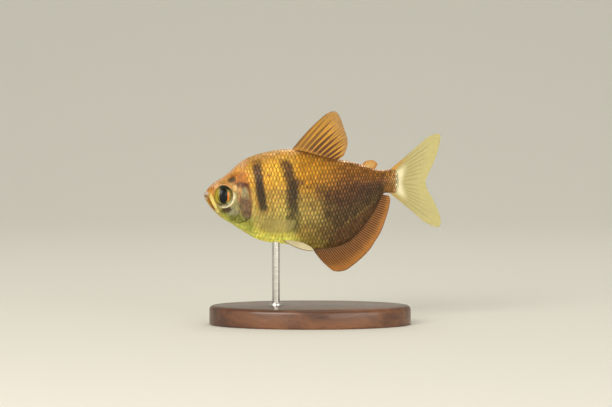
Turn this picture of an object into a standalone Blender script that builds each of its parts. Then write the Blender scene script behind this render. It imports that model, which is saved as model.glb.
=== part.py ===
# A black skirt tetra, life size, held over a plain stand.
# It looks towards -X with its left side to -Y. The stand's underside is at Z = 0.

import math

import bmesh
import bpy
from mathutils import Matrix, Vector

MM = 0.001
GAP = 0.3 * MM  # kept between neighbouring solids

# Place of the fish over the stand: where its snout's tip is
SNOUT_X = -22.0 * MM
SNOUT_HEIGHT = 27.2 * MM

# Pose: the swimming fish bends a little away from -Y at both ends, in fish coordinates
STRAIGHT_FROM = 12.0 * MM
STRAIGHT_TO = 20.0 * MM
HEAD_TURN = 0.35 * MM  # sideways at the snout's tip
TAIL_SWING = 1.9 * MM  # sideways at the tail fin's end
TAIL_END = 49.3 * MM

# Ribs of the body in millimetres, from the snout's tip (x back, z up):
# back x, back z, belly x, belly z, half width, height share of the widest line from the back,
# and the powers that narrow the section above and below that line
RIBS = (
    (0.00, 0.00, 0.00, 0.00, 0.00, 0.50, 0.80, 0.80),
    (0.40, 0.65, 0.12, -0.85, 0.88, 0.50, 0.80, 0.80),
    (1.15, 1.58, 0.80, -2.10, 1.48, 0.50, 0.80, 0.85),
    (2.25, 2.50, 1.90, -3.45, 2.02, 0.49, 0.80, 0.90),
    (3.70, 3.38, 3.50, -4.95, 2.45, 0.48, 0.80, 0.95),
    (5.40, 4.75, 5.60, -6.25, 2.78, 0.47, 0.85, 0.95),
    (7.45, 6.55, 8.05, -7.80, 3.05, 0.46, 0.92, 0.95),
    (9.95, 7.88, 10.75, -9.30, 3.20, 0.44, 1.00, 0.95),
    (13.25, 8.73, 13.70, -10.02, 3.22, 0.43, 1.05, 0.95),
    (16.60, 9.20, 17.00, -10.38, 3.12, 0.42, 1.08, 1.00),
    (19.90, 9.00, 19.90, -10.92, 2.92, 0.41, 1.08, 1.10),
    (23.25, 8.16, 23.20, -11.38, 2.65, 0.39, 1.05, 1.20),
    (26.55, 7.32, 26.60, -11.14, 2.34, 0.38, 1.00, 1.28),
    (29.50, 6.82, 29.70, -10.08, 2.04, 0.37, 1.00, 1.30),
    (32.00, 6.25, 32.30, -7.80, 1.77, 0.38, 1.00, 1.25),
    (34.05, 5.55, 34.20, -5.20, 1.52, 0.41, 1.00, 1.15),
    (35.70, 5.02, 35.75, -2.70, 1.32, 0.46, 1.00, 1.05),
    (37.15, 4.83, 37.15, -0.02, 1.14, 0.50, 0.95, 0.95),
    (38.55, 5.00, 38.55, 0.20, 0.92, 0.50, 0.90, 0.90),
    (39.85, 4.85, 39.85, 0.25, 0.62, 0.50, 0.85, 0.85),
)
HEAD_END = 6.30  # rib numbers where the body is parted, counted from 0
TRUNK_START = 6.42
TRUNK_END = 11.50
HIND_START = 11.60
HIND_END = 16.90
STALK_START = 17.12
LAST_RIB = len(RIBS) - 1
SIDES_ROUND = 32  # facets around a section
HEAD_RINGS, TRUNK_RINGS, HIND_RINGS, STALK_RINGS = 22, 14, 14, 6
WHOLE_RINGS = 57  # rings of a cutter in the shape of the whole body
ROOMY = 6.0 * MM  # further from the middle plane than any part of the body

# Eyes, as ellipsoids set into sockets and turned to face as the head's sides do
EYE_X, EYE_Z, EYE_OUT = 4.36 * MM, -0.25 * MM, 1.80 * MM
EYE_RADII = Vector((2.12, 1.12, 2.28)) * MM
EYE_YAW = math.radians(11)
EYE_SEGMENTS, EYE_RINGS = 24, 12

# Gill cover: its outline from the side, and how it lies on the body, in millimetres
GILL_OUTLINE = (
    (7.45, 1.55), (8.55, 1.95), (9.45, 1.35), (9.80, -0.20), (9.98, -1.90), (9.85, -3.45),
    (9.35, -4.80), (8.25, -5.65), (6.85, -5.75), (5.75, -5.25), (6.55, -4.25), (7.20, -2.90),
    (7.35, -1.20), (7.20, 0.40),
)
GILL_RIBS = (3.6, 8.0)  # ribs before and behind the gill cover
GILL_RINGS = 16
GILL_PROUD = 0.25 * MM
GILL_ROOM = 1.2 * MM  # how high over the skin its recess is cut
GILL_DEPTH = 0.50 * MM

# Mouth: the gape from the snout's tip to the jaw's hinge, seen from the side, in millimetres
GAPE = ((-0.60, -0.02), (0.55, -0.55), (1.25, -1.50), (1.85, -2.55), (2.75, -3.55), (3.35, -4.05))
CHIN_END = (3.75, -5.60)
LIP_RADIUS = 0.26 * MM
LIP_POINTS = slice(1, 5)  # the gape's points that the lips follow
LIP_CORNER = 0.35  # how thin a lip gets at the corner of the mouth
UPPER_LIP, LOWER_LIP = 0.44 * MM, -0.14 * MM  # how far above the gape's line each lip runs
NOSTRILS = ((1.42, 1.24, 0.20), (1.88, 1.50, 0.24))  # x, z and radius, in millimetres
NOSTRIL_DEPTH = 0.45 * MM

# Fins: the root and the outer edge from the first ray to the last. A root on the back or the
# belly is the numbers of the ribs it lies between. Other points are in millimetres: (x, z) in the
# fish's middle plane, or (x, y, z) for the left fin of a pair, whose root starts inside the body
# and is cut off where it comes out. A bow bends the first and the last ray at half their length.
DORSAL = {
    "root": ("back", 9.55, 12.30),
    "edge": ((25.30, 16.60), (26.30, 17.10), (27.25, 17.15), (27.90, 16.60), (28.50, 15.30),
             (29.20, 13.30), (29.70, 11.70), (29.80, 10.40), (29.50, 9.05), (28.95, 7.90)),
    "bows": ((-0.50, 0.48), (0.00, -0.05)),
    "rays": 11, "rows": 7, "thick": 0.55, "thin": 0.46, "ridge": 0.17, "ripple": 0.12, "sway": -0.35,
}
ANAL = {
    "root": ("belly", 10.85, 16.86),
    "edge": ((26.80, -16.10), (28.20, -16.22), (29.50, -15.92), (30.80, -15.05), (32.05, -14.05),
             (33.45, -12.75), (34.55, -11.50), (35.55, -9.95), (36.40, -8.60), (37.05, -7.30),
             (37.65, -5.65), (38.15, -4.10), (38.52, -2.60), (38.68, -1.25), (38.45, -0.45)),
    "bows": ((-0.45, -0.50), (0.00, 0.05)),
    "rays": 34, "rows": 4, "thick": 0.55, "thin": 0.46, "ridge": 0.15, "ripple": 0.22, "sway": 0.30,
}
TAIL_UPPER = {
    "root": ((38.75, 5.38), (40.00, 5.12), (40.18, 4.05), (40.18, 2.56)),
    "edge": ((46.00, 11.40), (47.10, 12.05), (48.30, 12.42), (49.05, 12.30), (49.22, 11.70),
             (49.05, 10.80), (48.55, 8.75), (47.75, 6.45), (46.85, 4.55), (46.00, 2.72)),
    "bows": ((0.10, -0.20), (0.00, 0.00)),
    "rays": 10, "rows": 7, "thick": 0.60, "thin": 0.46, "ridge": 0.16, "ripple": 0.10, "sway": 0.0,
}
TAIL_LOWER = {
    "root": ((40.18, 2.24), (40.18, 1.00), (40.00, -0.04), (38.75, -0.16)),
    "edge": ((46.00, 2.40), (46.45, 0.80), (47.25, -0.55), (48.10, -2.25), (48.80, -3.85),
             (49.28, -5.60), (49.22, -6.50), (48.95, -6.92), (48.30, -7.00), (47.30, -6.68),
             (46.30, -6.14), (45.60, -5.76)),
    "bows": ((0.00, 0.00), (0.10, 0.20)),
    "rays": 10, "rows": 7, "thick": 0.60, "thin": 0.46, "ridge": 0.16, "ripple": 0.10, "sway": 0.0,
}
ADIPOSE = {
    "root": ("back", 14.35, 15.60),
    "edge": ((33.45, 6.78), (34.40, 7.02), (35.35, 6.92), (36.05, 6.20)),
    "bows": ((-0.10, 0.12), (0.25, -0.20)),
    "rays": 5, "rows": 4, "thick": 0.50, "thin": 0.40, "ridge": 0.0, "ripple": 0.0, "sway": 0.0,
}
PECTORAL = {
    "root": ((9.75, -2.45, -4.95), (9.90, -2.35, -5.70), (10.25, -2.15, -6.55)),
    "edge": ((19.00, -4.35, -5.20), (19.10, -4.30, -5.90), (18.55, -4.15, -6.75),
             (17.30, -3.90, -7.60), (15.10, -3.45, -8.15)),
    "bows": ((0.00, 0.00, 0.35), (0.00, 0.00, -0.20)),
    "rays": 11, "rows": 5, "thick": 0.50, "thin": 0.40, "ridge": 0.10, "ripple": 0.10, "sway": 0.0,
}
PELVIC = {
    "root": ((16.40, -1.10, -9.55), (17.10, -1.08, -9.55), (17.85, -1.05, -9.60)),
    "edge": ((22.45, -2.60, -11.72), (22.75, -2.52, -11.55), (22.45, -2.38, -11.12),
             (21.65, -2.20, -10.58), (20.65, -2.05, -10.08)),
    "bows": ((-0.10, -0.10, -1.10), (0.05, -0.20, 0.10)),
    "rays": 8, "rows": 5, "thick": 0.50, "thin": 0.40, "ridge": 0.10, "ripple": 0.0, "sway": 0.0,
}
RAY_FOOT = 0.26  # half width of a ray's ridge, as a share of the distance between rays
SPLINE_STEPS = 12  # straight pieces between two points of a smooth line
ROOT_STEPS = 40

# Stand: an oval base, and a rod that stands in a drilled hole and reaches up to the belly
BASE_LENGTH, BASE_WIDTH, BASE_HEIGHT = 42.0 * MM, 25.0 * MM, 4.0 * MM
BASE_BEVEL = 0.9 * MM
BASE_SIDES = 56
ROD_X = 14.9 * MM  # behind the snout's tip
ROD_RIB = 8.4  # the rib that stands over it
ROD_RADIUS = 0.8 * MM
ROD_SIDES = 20
HOLE_DEPTH = 2.6 * MM

COLOURS = {  # base colour, roughness, metallic
    "flank": ((0.50, 0.27, 0.07), 0.35, 0.25),
    "head_skin": ((0.52, 0.36, 0.12), 0.32, 0.30),
    "gill_plate": ((0.34, 0.24, 0.12), 0.28, 0.35),
    "rear": ((0.17, 0.09, 0.035), 0.40, 0.20),
    "fin_brown": ((0.28, 0.12, 0.035), 0.45, 0.0),
    "fin_gold": ((0.42, 0.22, 0.05), 0.45, 0.0),
    "fin_clear": ((0.62, 0.56, 0.34), 0.40, 0.0),
    "eye": ((0.02, 0.03, 0.03), 0.08, 0.0),
    "stand_wood": ((0.16, 0.08, 0.04), 0.45, 0.0),
    "stand_steel": ((0.60, 0.60, 0.58), 0.30, 1.0),
}


def clear_scene():
    for thing in list(bpy.data.objects):
        bpy.data.objects.remove(thing, do_unlink=True)


def make_materials():
    """One plain material for each colour."""
    made = {}
    for name, (colour, roughness, metallic) in COLOURS.items():
        material = bpy.data.materials.new(name)
        material.use_nodes = True
        shader = material.node_tree.nodes["Principled BSDF"]
        shader.inputs["Base Color"].default_value = (*colour, 1.0)
        shader.inputs["Roughness"].default_value = roughness
        shader.inputs["Metallic"].default_value = metallic
        made[name] = material
    return made


def blend_four(values, place):
    """The smooth value at a place counted in steps along a list of numbers or vectors."""
    last = len(values) - 1
    i = min(int(place), last - 1)
    t = place - i
    b, c = values[i], values[i + 1]
    a = values[i - 1] if i > 0 else b * 2 - c
    d = values[i + 2] if i + 2 <= last else c * 2 - b
    return 0.5 * (2 * b + (c - a) * t + (2 * a - 5 * b + 4 * c - d) * t**2 + (3 * b - a - 3 * c + d) * t**3)


RIB_COLUMNS = [[float(value) for value in column] for column in zip(*RIBS)]


def rib_at(place):
    """The eight sizes of the rib at a place between two ribs, in the order of RIBS."""
    sizes = []
    for number, column in enumerate(RIB_COLUMNS):
        if place < 1 and number < 5:
            # Before the snout's tip the ribs run on as their own mirror image, so the tip is round.
            twin = {0: 2, 1: 3, 2: 0, 3: 1}.get(number)
            before = RIB_COLUMNS[twin][1] if twin is not None else -column[1]
            sizes.append(blend_four([before, *column], place + 1))
        else:
            sizes.append(blend_four(column, place))
    return sizes


def body_point(place, turn, grow=0.0):
    """A point of the body's surface: turn runs from the back (0) down the left flank, and on."""
    back_x, back_z, belly_x, belly_z, half, widest, upper, lower = rib_at(place)
    back = Vector((back_x, 0, back_z)) * MM
    belly = Vector((belly_x, 0, belly_z)) * MM
    half *= MM
    if grow:
        rise = (back - belly).normalized() if (back - belly).length > 0.1 * MM else Vector((0, 0, 1))
        back += rise * grow
        belly -= rise * grow
        half += grow
    down = min(turn, 2 * math.pi - turn)
    side = -1 if turn < math.pi else 1
    cosine = math.cos(down)
    share = widest * (1 - cosine) if cosine > 0 else widest - (1 - widest) * cosine
    power = upper if cosine > 0 else lower
    point = back.lerp(belly, share)
    point.y = side * half * max(math.sin(down), 0.0) ** power
    return point


def flank_out(x, z):
    """How far the left flank stands out at a point seen from the side, in metres."""
    low, high = 0.0, float(LAST_RIB)
    for _ in range(40):
        middle = (low + high) / 2
        back_x, back_z, belly_x, belly_z = rib_at(middle)[:4]
        lean = (belly_x - back_x) / max(back_z - belly_z, 1e-6)
        if back_x + lean * (back_z - z) < x:
            low = middle
        else:
            high = middle
    back_x, back_z, belly_x, belly_z, half, widest, upper, lower = rib_at(low)
    share = min(max((back_z - z) / max(back_z - belly_z, 1e-6), 0.0), 1.0)
    if share < widest:
        return half * MM * math.sin(math.acos(1 - share / widest)) ** upper
    return half * MM * max(math.sin(math.acos(min((share - widest) / (1 - widest), 1.0))), 0.0) ** lower


def new_object(name, mesh, parent=None):
    """An object that holds this bmesh."""
    data = bpy.data.meshes.new(name)
    mesh.to_mesh(data)
    mesh.free()
    made = bpy.data.objects.new(name, data)
    bpy.context.scene.collection.objects.link(made)
    made.parent = parent
    return made


def body_piece(name, fish, start, end, rings, grow=0.0):
    """The closed length of the body between two ribs."""
    mesh = bmesh.new()
    bmesh.ops.create_grid(mesh, x_segments=rings, y_segments=SIDES_ROUND, size=1)
    for vert in mesh.verts:
        place = start + (end - start) * (vert.co.x + 1) / 2
        turn = 2 * math.pi * (vert.co.y + 1) / 2
        vert.co = body_point(place, turn, grow)
    bmesh.ops.remove_doubles(mesh, verts=mesh.verts, dist=0.002 * MM)
    rim = [edge for edge in mesh.edges if edge.is_boundary]
    if rim:
        bmesh.ops.holes_fill(mesh, edges=rim, sides=0)
    bmesh.ops.recalc_face_normals(mesh, faces=mesh.faces)
    return new_object(name, mesh, fish)


def smooth_line(points, steps=SPLINE_STEPS):
    """Points close together along the smooth line through these."""
    count = (len(points) - 1) * steps
    return [blend_four(points, i / steps) for i in range(count + 1)]


def beside(line, distance):
    """The line through these points, seen from the side, moved over to its left."""
    moved = []
    for i, point in enumerate(line):
        way = (line[min(i + 1, len(line) - 1)] - line[max(i - 1, 0)]).normalized()
        moved.append(point + Vector((-way.z, 0, way.x)) * distance)
    return moved


def along(line, share):
    """The point at this share of a line's length."""
    lengths = [(b - a).length for a, b in zip(line, line[1:])]
    left = share * sum(lengths)
    for start, end, length in zip(line, line[1:], lengths):
        if left <= length:
            return start.lerp(end, left / length)
        left -= length
    return line[-1].copy()


def fin_points(points):
    """A fin's points as vectors in metres."""
    return [Vector((p[0], 0.0, p[1]) if len(p) == 2 else p) * MM for p in points]


def root_line(root):
    """Where a fin's root runs: along the back or the belly just off the skin, or through its own points."""
    if root[0] not in ("back", "belly"):
        return smooth_line(fin_points(root))
    turn = 0.0 if root[0] == "back" else math.pi
    places = [root[1] + (root[2] - root[1]) * i / ROOT_STEPS for i in range(ROOT_STEPS + 1)]
    line = []
    for place in places:
        way = (body_point(place + 0.02, turn) - body_point(place - 0.02, turn)).normalized()
        out = Vector((-way.z, 0, way.x)) * (1 if root[0] == "back" else -1)
        line.append(body_point(place, turn) + out * GAP)
    return line


def fin_solid(name, fish, fin, side=-1):
    """A fin as one sheet whose rays are ridges on both faces. Side 1 makes the right fin of a pair."""
    flip = Vector((1, -side, 1))
    root = root_line(fin["root"])
    edge = smooth_line(fin_points(fin["edge"]))
    first_bow, last_bow = fin_points(fin["bows"])
    rays, rows = fin["rays"], fin["rows"]
    foot = RAY_FOOT / (rays - 1)
    columns = []
    for ray in range(rays):
        middle = ray / (rays - 1)
        columns += [(middle - foot, 0.0), (middle, 1.0), (middle + foot, 0.0)]
    columns = columns[1:-1]
    starts = [along(root, place) for place, _ in columns]
    ends = [along(edge, place) for place, _ in columns]

    mesh = bmesh.new()
    bmesh.ops.create_grid(mesh, x_segments=len(columns) - 1, y_segments=rows, size=1)
    halves = {}
    for vert in mesh.verts:
        column = round((vert.co.x + 1) / 2 * (len(columns) - 1))
        out = (vert.co.y + 1) / 2
        place, crest = columns[column]
        start, end = starts[column], ends[column]
        middle = (start + end) / 2 + first_bow.lerp(last_bow, place)
        point = start * (1 - out) ** 2 + middle * 2 * out * (1 - out) + end * out**2
        wave = fin["ripple"] * math.sin(place * math.tau * 1.5) + fin["sway"]
        point.y += wave * MM * out**2
        vert.co = point * flip
        flat = fin["thick"] + (fin["thin"] - fin["thick"]) * out
        halves[vert] = (flat / 2 + fin["ridge"] * crest * (1 - 0.7 * out)) * MM
    facing = (ends[-1] - starts[0]).cross(ends[0] - starts[-1]).normalized() * flip
    bmesh.ops.triangulate(mesh, faces=mesh.faces, quad_method="FIXED")
    front = list(mesh.verts)
    places = {vert: vert.co.copy() for vert in front}
    bmesh.ops.extrude_face_region(mesh, geom=list(mesh.faces))
    twins = {tuple(vert.co): vert for vert in mesh.verts if vert not in places}
    for vert in front:
        twin = twins[tuple(places[vert])]
        vert.co = places[vert] + facing * halves[vert]
        twin.co = places[vert] - facing * halves[vert]
    bmesh.ops.recalc_face_normals(mesh, faces=mesh.faces)
    return new_object(name, mesh, fish)


def prism(name, fish, outline, low_y, high_y):
    """An outline seen from the side, drawn out between two distances from the middle plane."""
    mesh = bmesh.new()
    ring = [mesh.verts.new((point.x, low_y, point.z)) for point in outline]
    face = mesh.faces.new(ring)
    drawn = bmesh.ops.extrude_face_region(mesh, geom=[face])["geom"]
    moved = [item for item in drawn if isinstance(item, bmesh.types.BMVert)]
    bmesh.ops.translate(mesh, verts=moved, vec=(0, high_y - low_y, 0))
    bmesh.ops.recalc_face_normals(mesh, faces=mesh.faces)
    return new_object(name, mesh, fish)


def eye_solid(name, fish, side, grow=0.0):
    """An eye, or a larger one to cut its socket with. The poles of its mesh face out and in."""
    centre = Vector((EYE_X, side * EYE_OUT, EYE_Z))
    radii = EYE_RADII + Vector((grow, grow, grow))
    mesh = bmesh.new()
    bmesh.ops.create_uvsphere(mesh, u_segments=EYE_SEGMENTS, v_segments=EYE_RINGS, radius=1)
    bmesh.ops.rotate(mesh, verts=mesh.verts, matrix=Matrix.Rotation(math.pi / 2, 3, "X"))
    bmesh.ops.scale(mesh, verts=mesh.verts, vec=radii)
    turn = Matrix.Rotation(-side * EYE_YAW, 3, "Z")
    bmesh.ops.rotate(mesh, verts=mesh.verts, matrix=turn)
    bmesh.ops.translate(mesh, verts=mesh.verts, vec=centre)
    bmesh.ops.recalc_face_normals(mesh, faces=mesh.faces)
    return new_object(name, mesh, fish)


def boolean(target, operation, other):
    """Joins or cuts a solid with another one, and hides that one."""
    modifier = target.modifiers.new(other.name, "BOOLEAN")
    modifier.operation = operation
    modifier.object = other
    other.hide_render = True
    other.display_type = "WIRE"


def settle(made):
    """Applies the modifiers of an object and removes what they used."""
    used = [modifier.object for modifier in made.modifiers]
    graph = bpy.context.evaluated_depsgraph_get()
    data = bpy.data.meshes.new_from_object(made.evaluated_get(graph))
    made.modifiers.clear()
    made.data = data
    return used


def grown_outline(points, grow):
    """A closed smooth outline, seen from the side, moved out by a distance."""
    corners = [Vector((x, 0, z)) * MM for x, z in points]
    ring = smooth_line([corners[-1], *corners, corners[0], corners[1]], steps=2)[2:-2]
    grown = []
    for i, point in enumerate(ring):
        way = (ring[(i + 1) % len(ring)] - ring[i - 1]).normalized()
        grown.append(point + Vector((-way.z, 0, way.x)) * grow)
    return grown


def gill_plate(name, fish, side, grow, outer, inner):
    """A piece of the body's shell inside the gill cover's outline, between two depths."""
    plate = prism(name, fish, grown_outline(GILL_OUTLINE, grow), GAP * side, ROOMY * side)
    shell = body_piece(name + "_outer", fish, *GILL_RIBS, GILL_RINGS, outer)
    core = body_piece(name + "_core", fish, *GILL_RIBS, GILL_RINGS, inner)
    boolean(plate, "INTERSECT", shell)
    boolean(plate, "DIFFERENCE", core)
    for used in settle(plate):
        bpy.data.objects.remove(used)
    return plate


def lip_tube(name, fish, lift):
    """A lip, thin at the mouth's corners, from one corner round the snout's tip to the other."""
    side_view = beside([Vector((x, 0, z)) * MM for x, z in GAPE], lift)[LIP_POINTS]
    left = [Vector((p.x, -flank_out(p.x / MM, p.z / MM), p.z)) for p in side_view]
    tip = Vector((0.05 * MM, 0, lift - 0.12 * MM))
    right = [point * Vector((1, -1, 1)) for point in left]
    route = smooth_line([*reversed(left), tip, *right], steps=3)
    curve = bpy.data.curves.new(name, "CURVE")
    curve.dimensions = "3D"
    curve.bevel_depth = LIP_RADIUS
    curve.bevel_resolution = 1
    curve.use_fill_caps = True
    spline = curve.splines.new("POLY")
    spline.points.add(len(route) - 1)
    for number, (spot, place) in enumerate(zip(spline.points, route)):
        spot.co = (*place, 1)
        spot.radius = LIP_CORNER + (1 - LIP_CORNER) * math.sin(math.pi * number / (len(route) - 1))
    bent = bpy.data.objects.new(name + "_line", curve)
    bpy.context.scene.collection.objects.link(bent)
    graph = bpy.context.evaluated_depsgraph_get()
    mesh = bmesh.new()
    mesh.from_mesh(bpy.data.meshes.new_from_object(bent.evaluated_get(graph)))
    bmesh.ops.remove_doubles(mesh, verts=mesh.verts, dist=0.001 * MM)
    bmesh.ops.recalc_face_normals(mesh, faces=mesh.faces)
    bpy.data.objects.remove(bent)
    return new_object(name, mesh, fish)


def jaw_outline(grow):
    """What lies below the gape and before the jaw's hinge, moved out by a distance."""
    lifted = beside(smooth_line([Vector((x, 0, z)) * MM for x, z in GAPE], steps=3), grow)
    chin = Vector((CHIN_END[0], 0, CHIN_END[1])) * MM + Vector((grow, 0, 0))
    return [*lifted, chin, Vector((2.0, 0, -6.5)) * MM, Vector((-1.5, 0, -3.0)) * MM]


def make_head(fish):
    """The head with its sockets, nostrils and upper lip, and the lower jaw that is cut from it."""
    head = body_piece("head", fish, 0, HEAD_END, HEAD_RINGS)
    upper_lip = lip_tube("upper_lip", fish, UPPER_LIP)
    boolean(head, "UNION", upper_lip)
    boolean(head, "DIFFERENCE", prism("jaw_room", fish, jaw_outline(GAP), -ROOMY, ROOMY))
    for side in (-1, 1):
        name = "left" if side < 0 else "right"
        boolean(head, "DIFFERENCE", eye_solid("socket_" + name, fish, side, GAP))
        recess = gill_plate("gill_room_" + name, fish, side, GAP, GILL_ROOM, -GILL_DEPTH - GAP)
        boolean(head, "DIFFERENCE", recess)
        for number, (x, z, radius) in enumerate(NOSTRILS):
            mesh = bmesh.new()
            bmesh.ops.create_icosphere(mesh, subdivisions=1, radius=1)
            bmesh.ops.scale(mesh, verts=mesh.verts, vec=(radius * MM, NOSTRIL_DEPTH, radius * MM))
            place = (x * MM, side * flank_out(x, z), z * MM)
            bmesh.ops.translate(mesh, verts=mesh.verts, vec=place)
            boolean(head, "DIFFERENCE", new_object(f"nostril_{name}_{number}", mesh, fish))

    jaw = body_piece("lower_jaw", fish, 0, HEAD_END, HEAD_RINGS)
    boolean(jaw, "UNION", lip_tube("lower_lip", fish, LOWER_LIP))
    boolean(jaw, "INTERSECT", prism("jaw_part", fish, jaw_outline(0), -ROOMY, ROOMY))
    return head, jaw


def make_trunk(fish):
    """The body behind the gills, hollowed a little where the gill covers overlap it."""
    trunk = body_piece("trunk", fish, TRUNK_START, TRUNK_END, TRUNK_RINGS)
    for side, name in ((-1, "left"), (1, "right")):
        recess = gill_plate("trunk_room_" + name, fish, side, GAP, GILL_ROOM, -GILL_DEPTH - GAP)
        boolean(trunk, "DIFFERENCE", recess)
    return trunk


def bend_fish(made):
    """Swings the head and the tail aside, and keeps only the largest closed surface."""
    mesh = bmesh.new()
    mesh.from_mesh(made.data)
    for vert in mesh.verts:
        before = max(STRAIGHT_FROM - vert.co.x, 0) / STRAIGHT_FROM
        after = max(vert.co.x - STRAIGHT_TO, 0) / (TAIL_END - STRAIGHT_TO)
        vert.co.y += HEAD_TURN * before**2 + TAIL_SWING * after**2
    keep_largest(mesh)
    mesh.to_mesh(made.data)
    mesh.free()


def keep_largest(mesh):
    """Deletes every loose surface but the largest."""
    left = set(mesh.verts)
    groups = []
    while left:
        group, edge_of_group = set(), {left.pop()}
        while edge_of_group:
            vert = edge_of_group.pop()
            group.add(vert)
            near = {link.other_vert(vert) for link in vert.link_edges} - group
            edge_of_group |= near
        left -= group
        groups.append(group)
    for group in sorted(groups, key=len)[:-1]:
        bmesh.ops.delete(mesh, geom=list(group), context="VERTS")


def make_stand(fish, materials):
    """An oval base with a drilled hole, and the rod that holds the fish by its belly."""
    mesh = bmesh.new()
    bmesh.ops.create_cone(
        mesh, cap_ends=True, segments=BASE_SIDES, radius1=0.5, radius2=0.5, depth=BASE_HEIGHT
    )
    bmesh.ops.scale(mesh, verts=mesh.verts, vec=(BASE_LENGTH, BASE_WIDTH, 1))
    bmesh.ops.translate(mesh, verts=mesh.verts, vec=(0, 0, BASE_HEIGHT / 2))
    top = [e for e in mesh.edges if all(v.co.z > BASE_HEIGHT * 0.99 for v in e.verts)]
    bmesh.ops.bevel(
        mesh, geom=top, offset=BASE_BEVEL, segments=3, profile=0.5, affect="EDGES", material=-1
    )
    base = new_object("stand_base", mesh)
    rod_place = SNOUT_X + ROD_X
    hole = rod_solid("rod_hole", ROD_RADIUS + GAP, BASE_HEIGHT - HOLE_DEPTH, BASE_HEIGHT + ROOMY)
    hole.location.x = rod_place
    boolean(base, "DIFFERENCE", hole)

    belly = SNOUT_HEIGHT + body_point(ROD_RIB, math.pi).z
    rod = rod_solid("stand_rod", ROD_RADIUS, BASE_HEIGHT - HOLE_DEPTH + GAP, belly + 2 * ROD_RADIUS)
    rod.location.x = rod_place
    boolean(rod, "DIFFERENCE", body_piece("belly_room", fish, 0, LAST_RIB, WHOLE_RINGS, GAP))
    base.data.materials.append(materials["stand_wood"])
    rod.data.materials.append(materials["stand_steel"])


def rod_solid(name, radius, low, high):
    """A straight round bar that stands on end."""
    mesh = bmesh.new()
    bmesh.ops.create_cone(
        mesh, cap_ends=True, segments=ROD_SIDES, radius1=radius, radius2=radius, depth=high - low
    )
    bmesh.ops.translate(mesh, verts=mesh.verts, vec=(0, 0, (low + high) / 2))
    return new_object(name, mesh)


def main():
    clear_scene()
    materials = make_materials()
    fish = bpy.data.objects.new("fish", None)
    fish.location = (SNOUT_X, 0, SNOUT_HEIGHT)
    bpy.context.scene.collection.objects.link(fish)

    head, jaw = make_head(fish)
    pieces = {
        "head_skin": [head, jaw],
        "flank": [make_trunk(fish)],
        "rear": [
            body_piece("hind_body", fish, HIND_START, HIND_END, HIND_RINGS),
            body_piece("tail_stalk", fish, STALK_START, LAST_RIB, STALK_RINGS),
        ],
        "gill_plate": [],
        "eye": [],
        "fin_gold": [fin_solid("dorsal_fin", fish, DORSAL), fin_solid("adipose_fin", fish, ADIPOSE)],
        "fin_brown": [fin_solid("anal_fin", fish, ANAL)],
        "fin_clear": [
            fin_solid("tail_fin_upper", fish, TAIL_UPPER),
            fin_solid("tail_fin_lower", fish, TAIL_LOWER),
        ],
    }
    for side, name in ((-1, "left"), (1, "right")):
        pieces["gill_plate"].append(
            gill_plate("gill_cover_" + name, fish, side, 0, GILL_PROUD, -GILL_DEPTH)
        )
        pieces["eye"].append(eye_solid("eye_" + name, fish, side))
        for fin_name, fin in (("pectoral_fin_", PECTORAL), ("pelvic_fin_", PELVIC)):
            made = fin_solid(fin_name + name, fish, fin, side)
            room = body_piece(made.name + "_room", fish, 0, LAST_RIB, WHOLE_RINGS, GAP)
            boolean(made, "DIFFERENCE", room)
            pieces["fin_clear"].append(made)

    used = []
    for made in [piece for group in pieces.values() for piece in group]:
        used += settle(made)
    for helper in used:
        bpy.data.objects.remove(helper)
    for finish, group in pieces.items():
        for made in group:
            bend_fish(made)
            made.data.materials.clear()
            made.data.materials.append(materials[finish])
            made.data.shade_smooth()
            made.data.set_sharp_from_angle(angle=math.radians(35))
    make_stand(fish, materials)


main()
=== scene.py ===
import math
import random

import bmesh
import bpy
import numpy as np
from mathutils import Matrix, Vector


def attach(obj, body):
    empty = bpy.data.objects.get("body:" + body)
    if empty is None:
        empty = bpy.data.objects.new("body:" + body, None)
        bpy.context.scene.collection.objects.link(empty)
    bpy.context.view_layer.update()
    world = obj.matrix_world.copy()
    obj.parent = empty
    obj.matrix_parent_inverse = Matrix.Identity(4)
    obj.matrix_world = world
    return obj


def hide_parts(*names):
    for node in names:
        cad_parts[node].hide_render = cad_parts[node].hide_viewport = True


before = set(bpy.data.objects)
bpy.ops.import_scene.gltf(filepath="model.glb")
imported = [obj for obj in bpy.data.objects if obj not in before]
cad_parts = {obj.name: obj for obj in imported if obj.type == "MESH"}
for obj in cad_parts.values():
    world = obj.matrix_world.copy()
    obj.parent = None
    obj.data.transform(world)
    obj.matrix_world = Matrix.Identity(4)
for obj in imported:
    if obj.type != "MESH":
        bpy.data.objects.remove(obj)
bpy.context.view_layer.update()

mm = 0.001
snout = Vector((-22.0, 0.0, 27.2)) * mm  # place of the snout's tip
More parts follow.
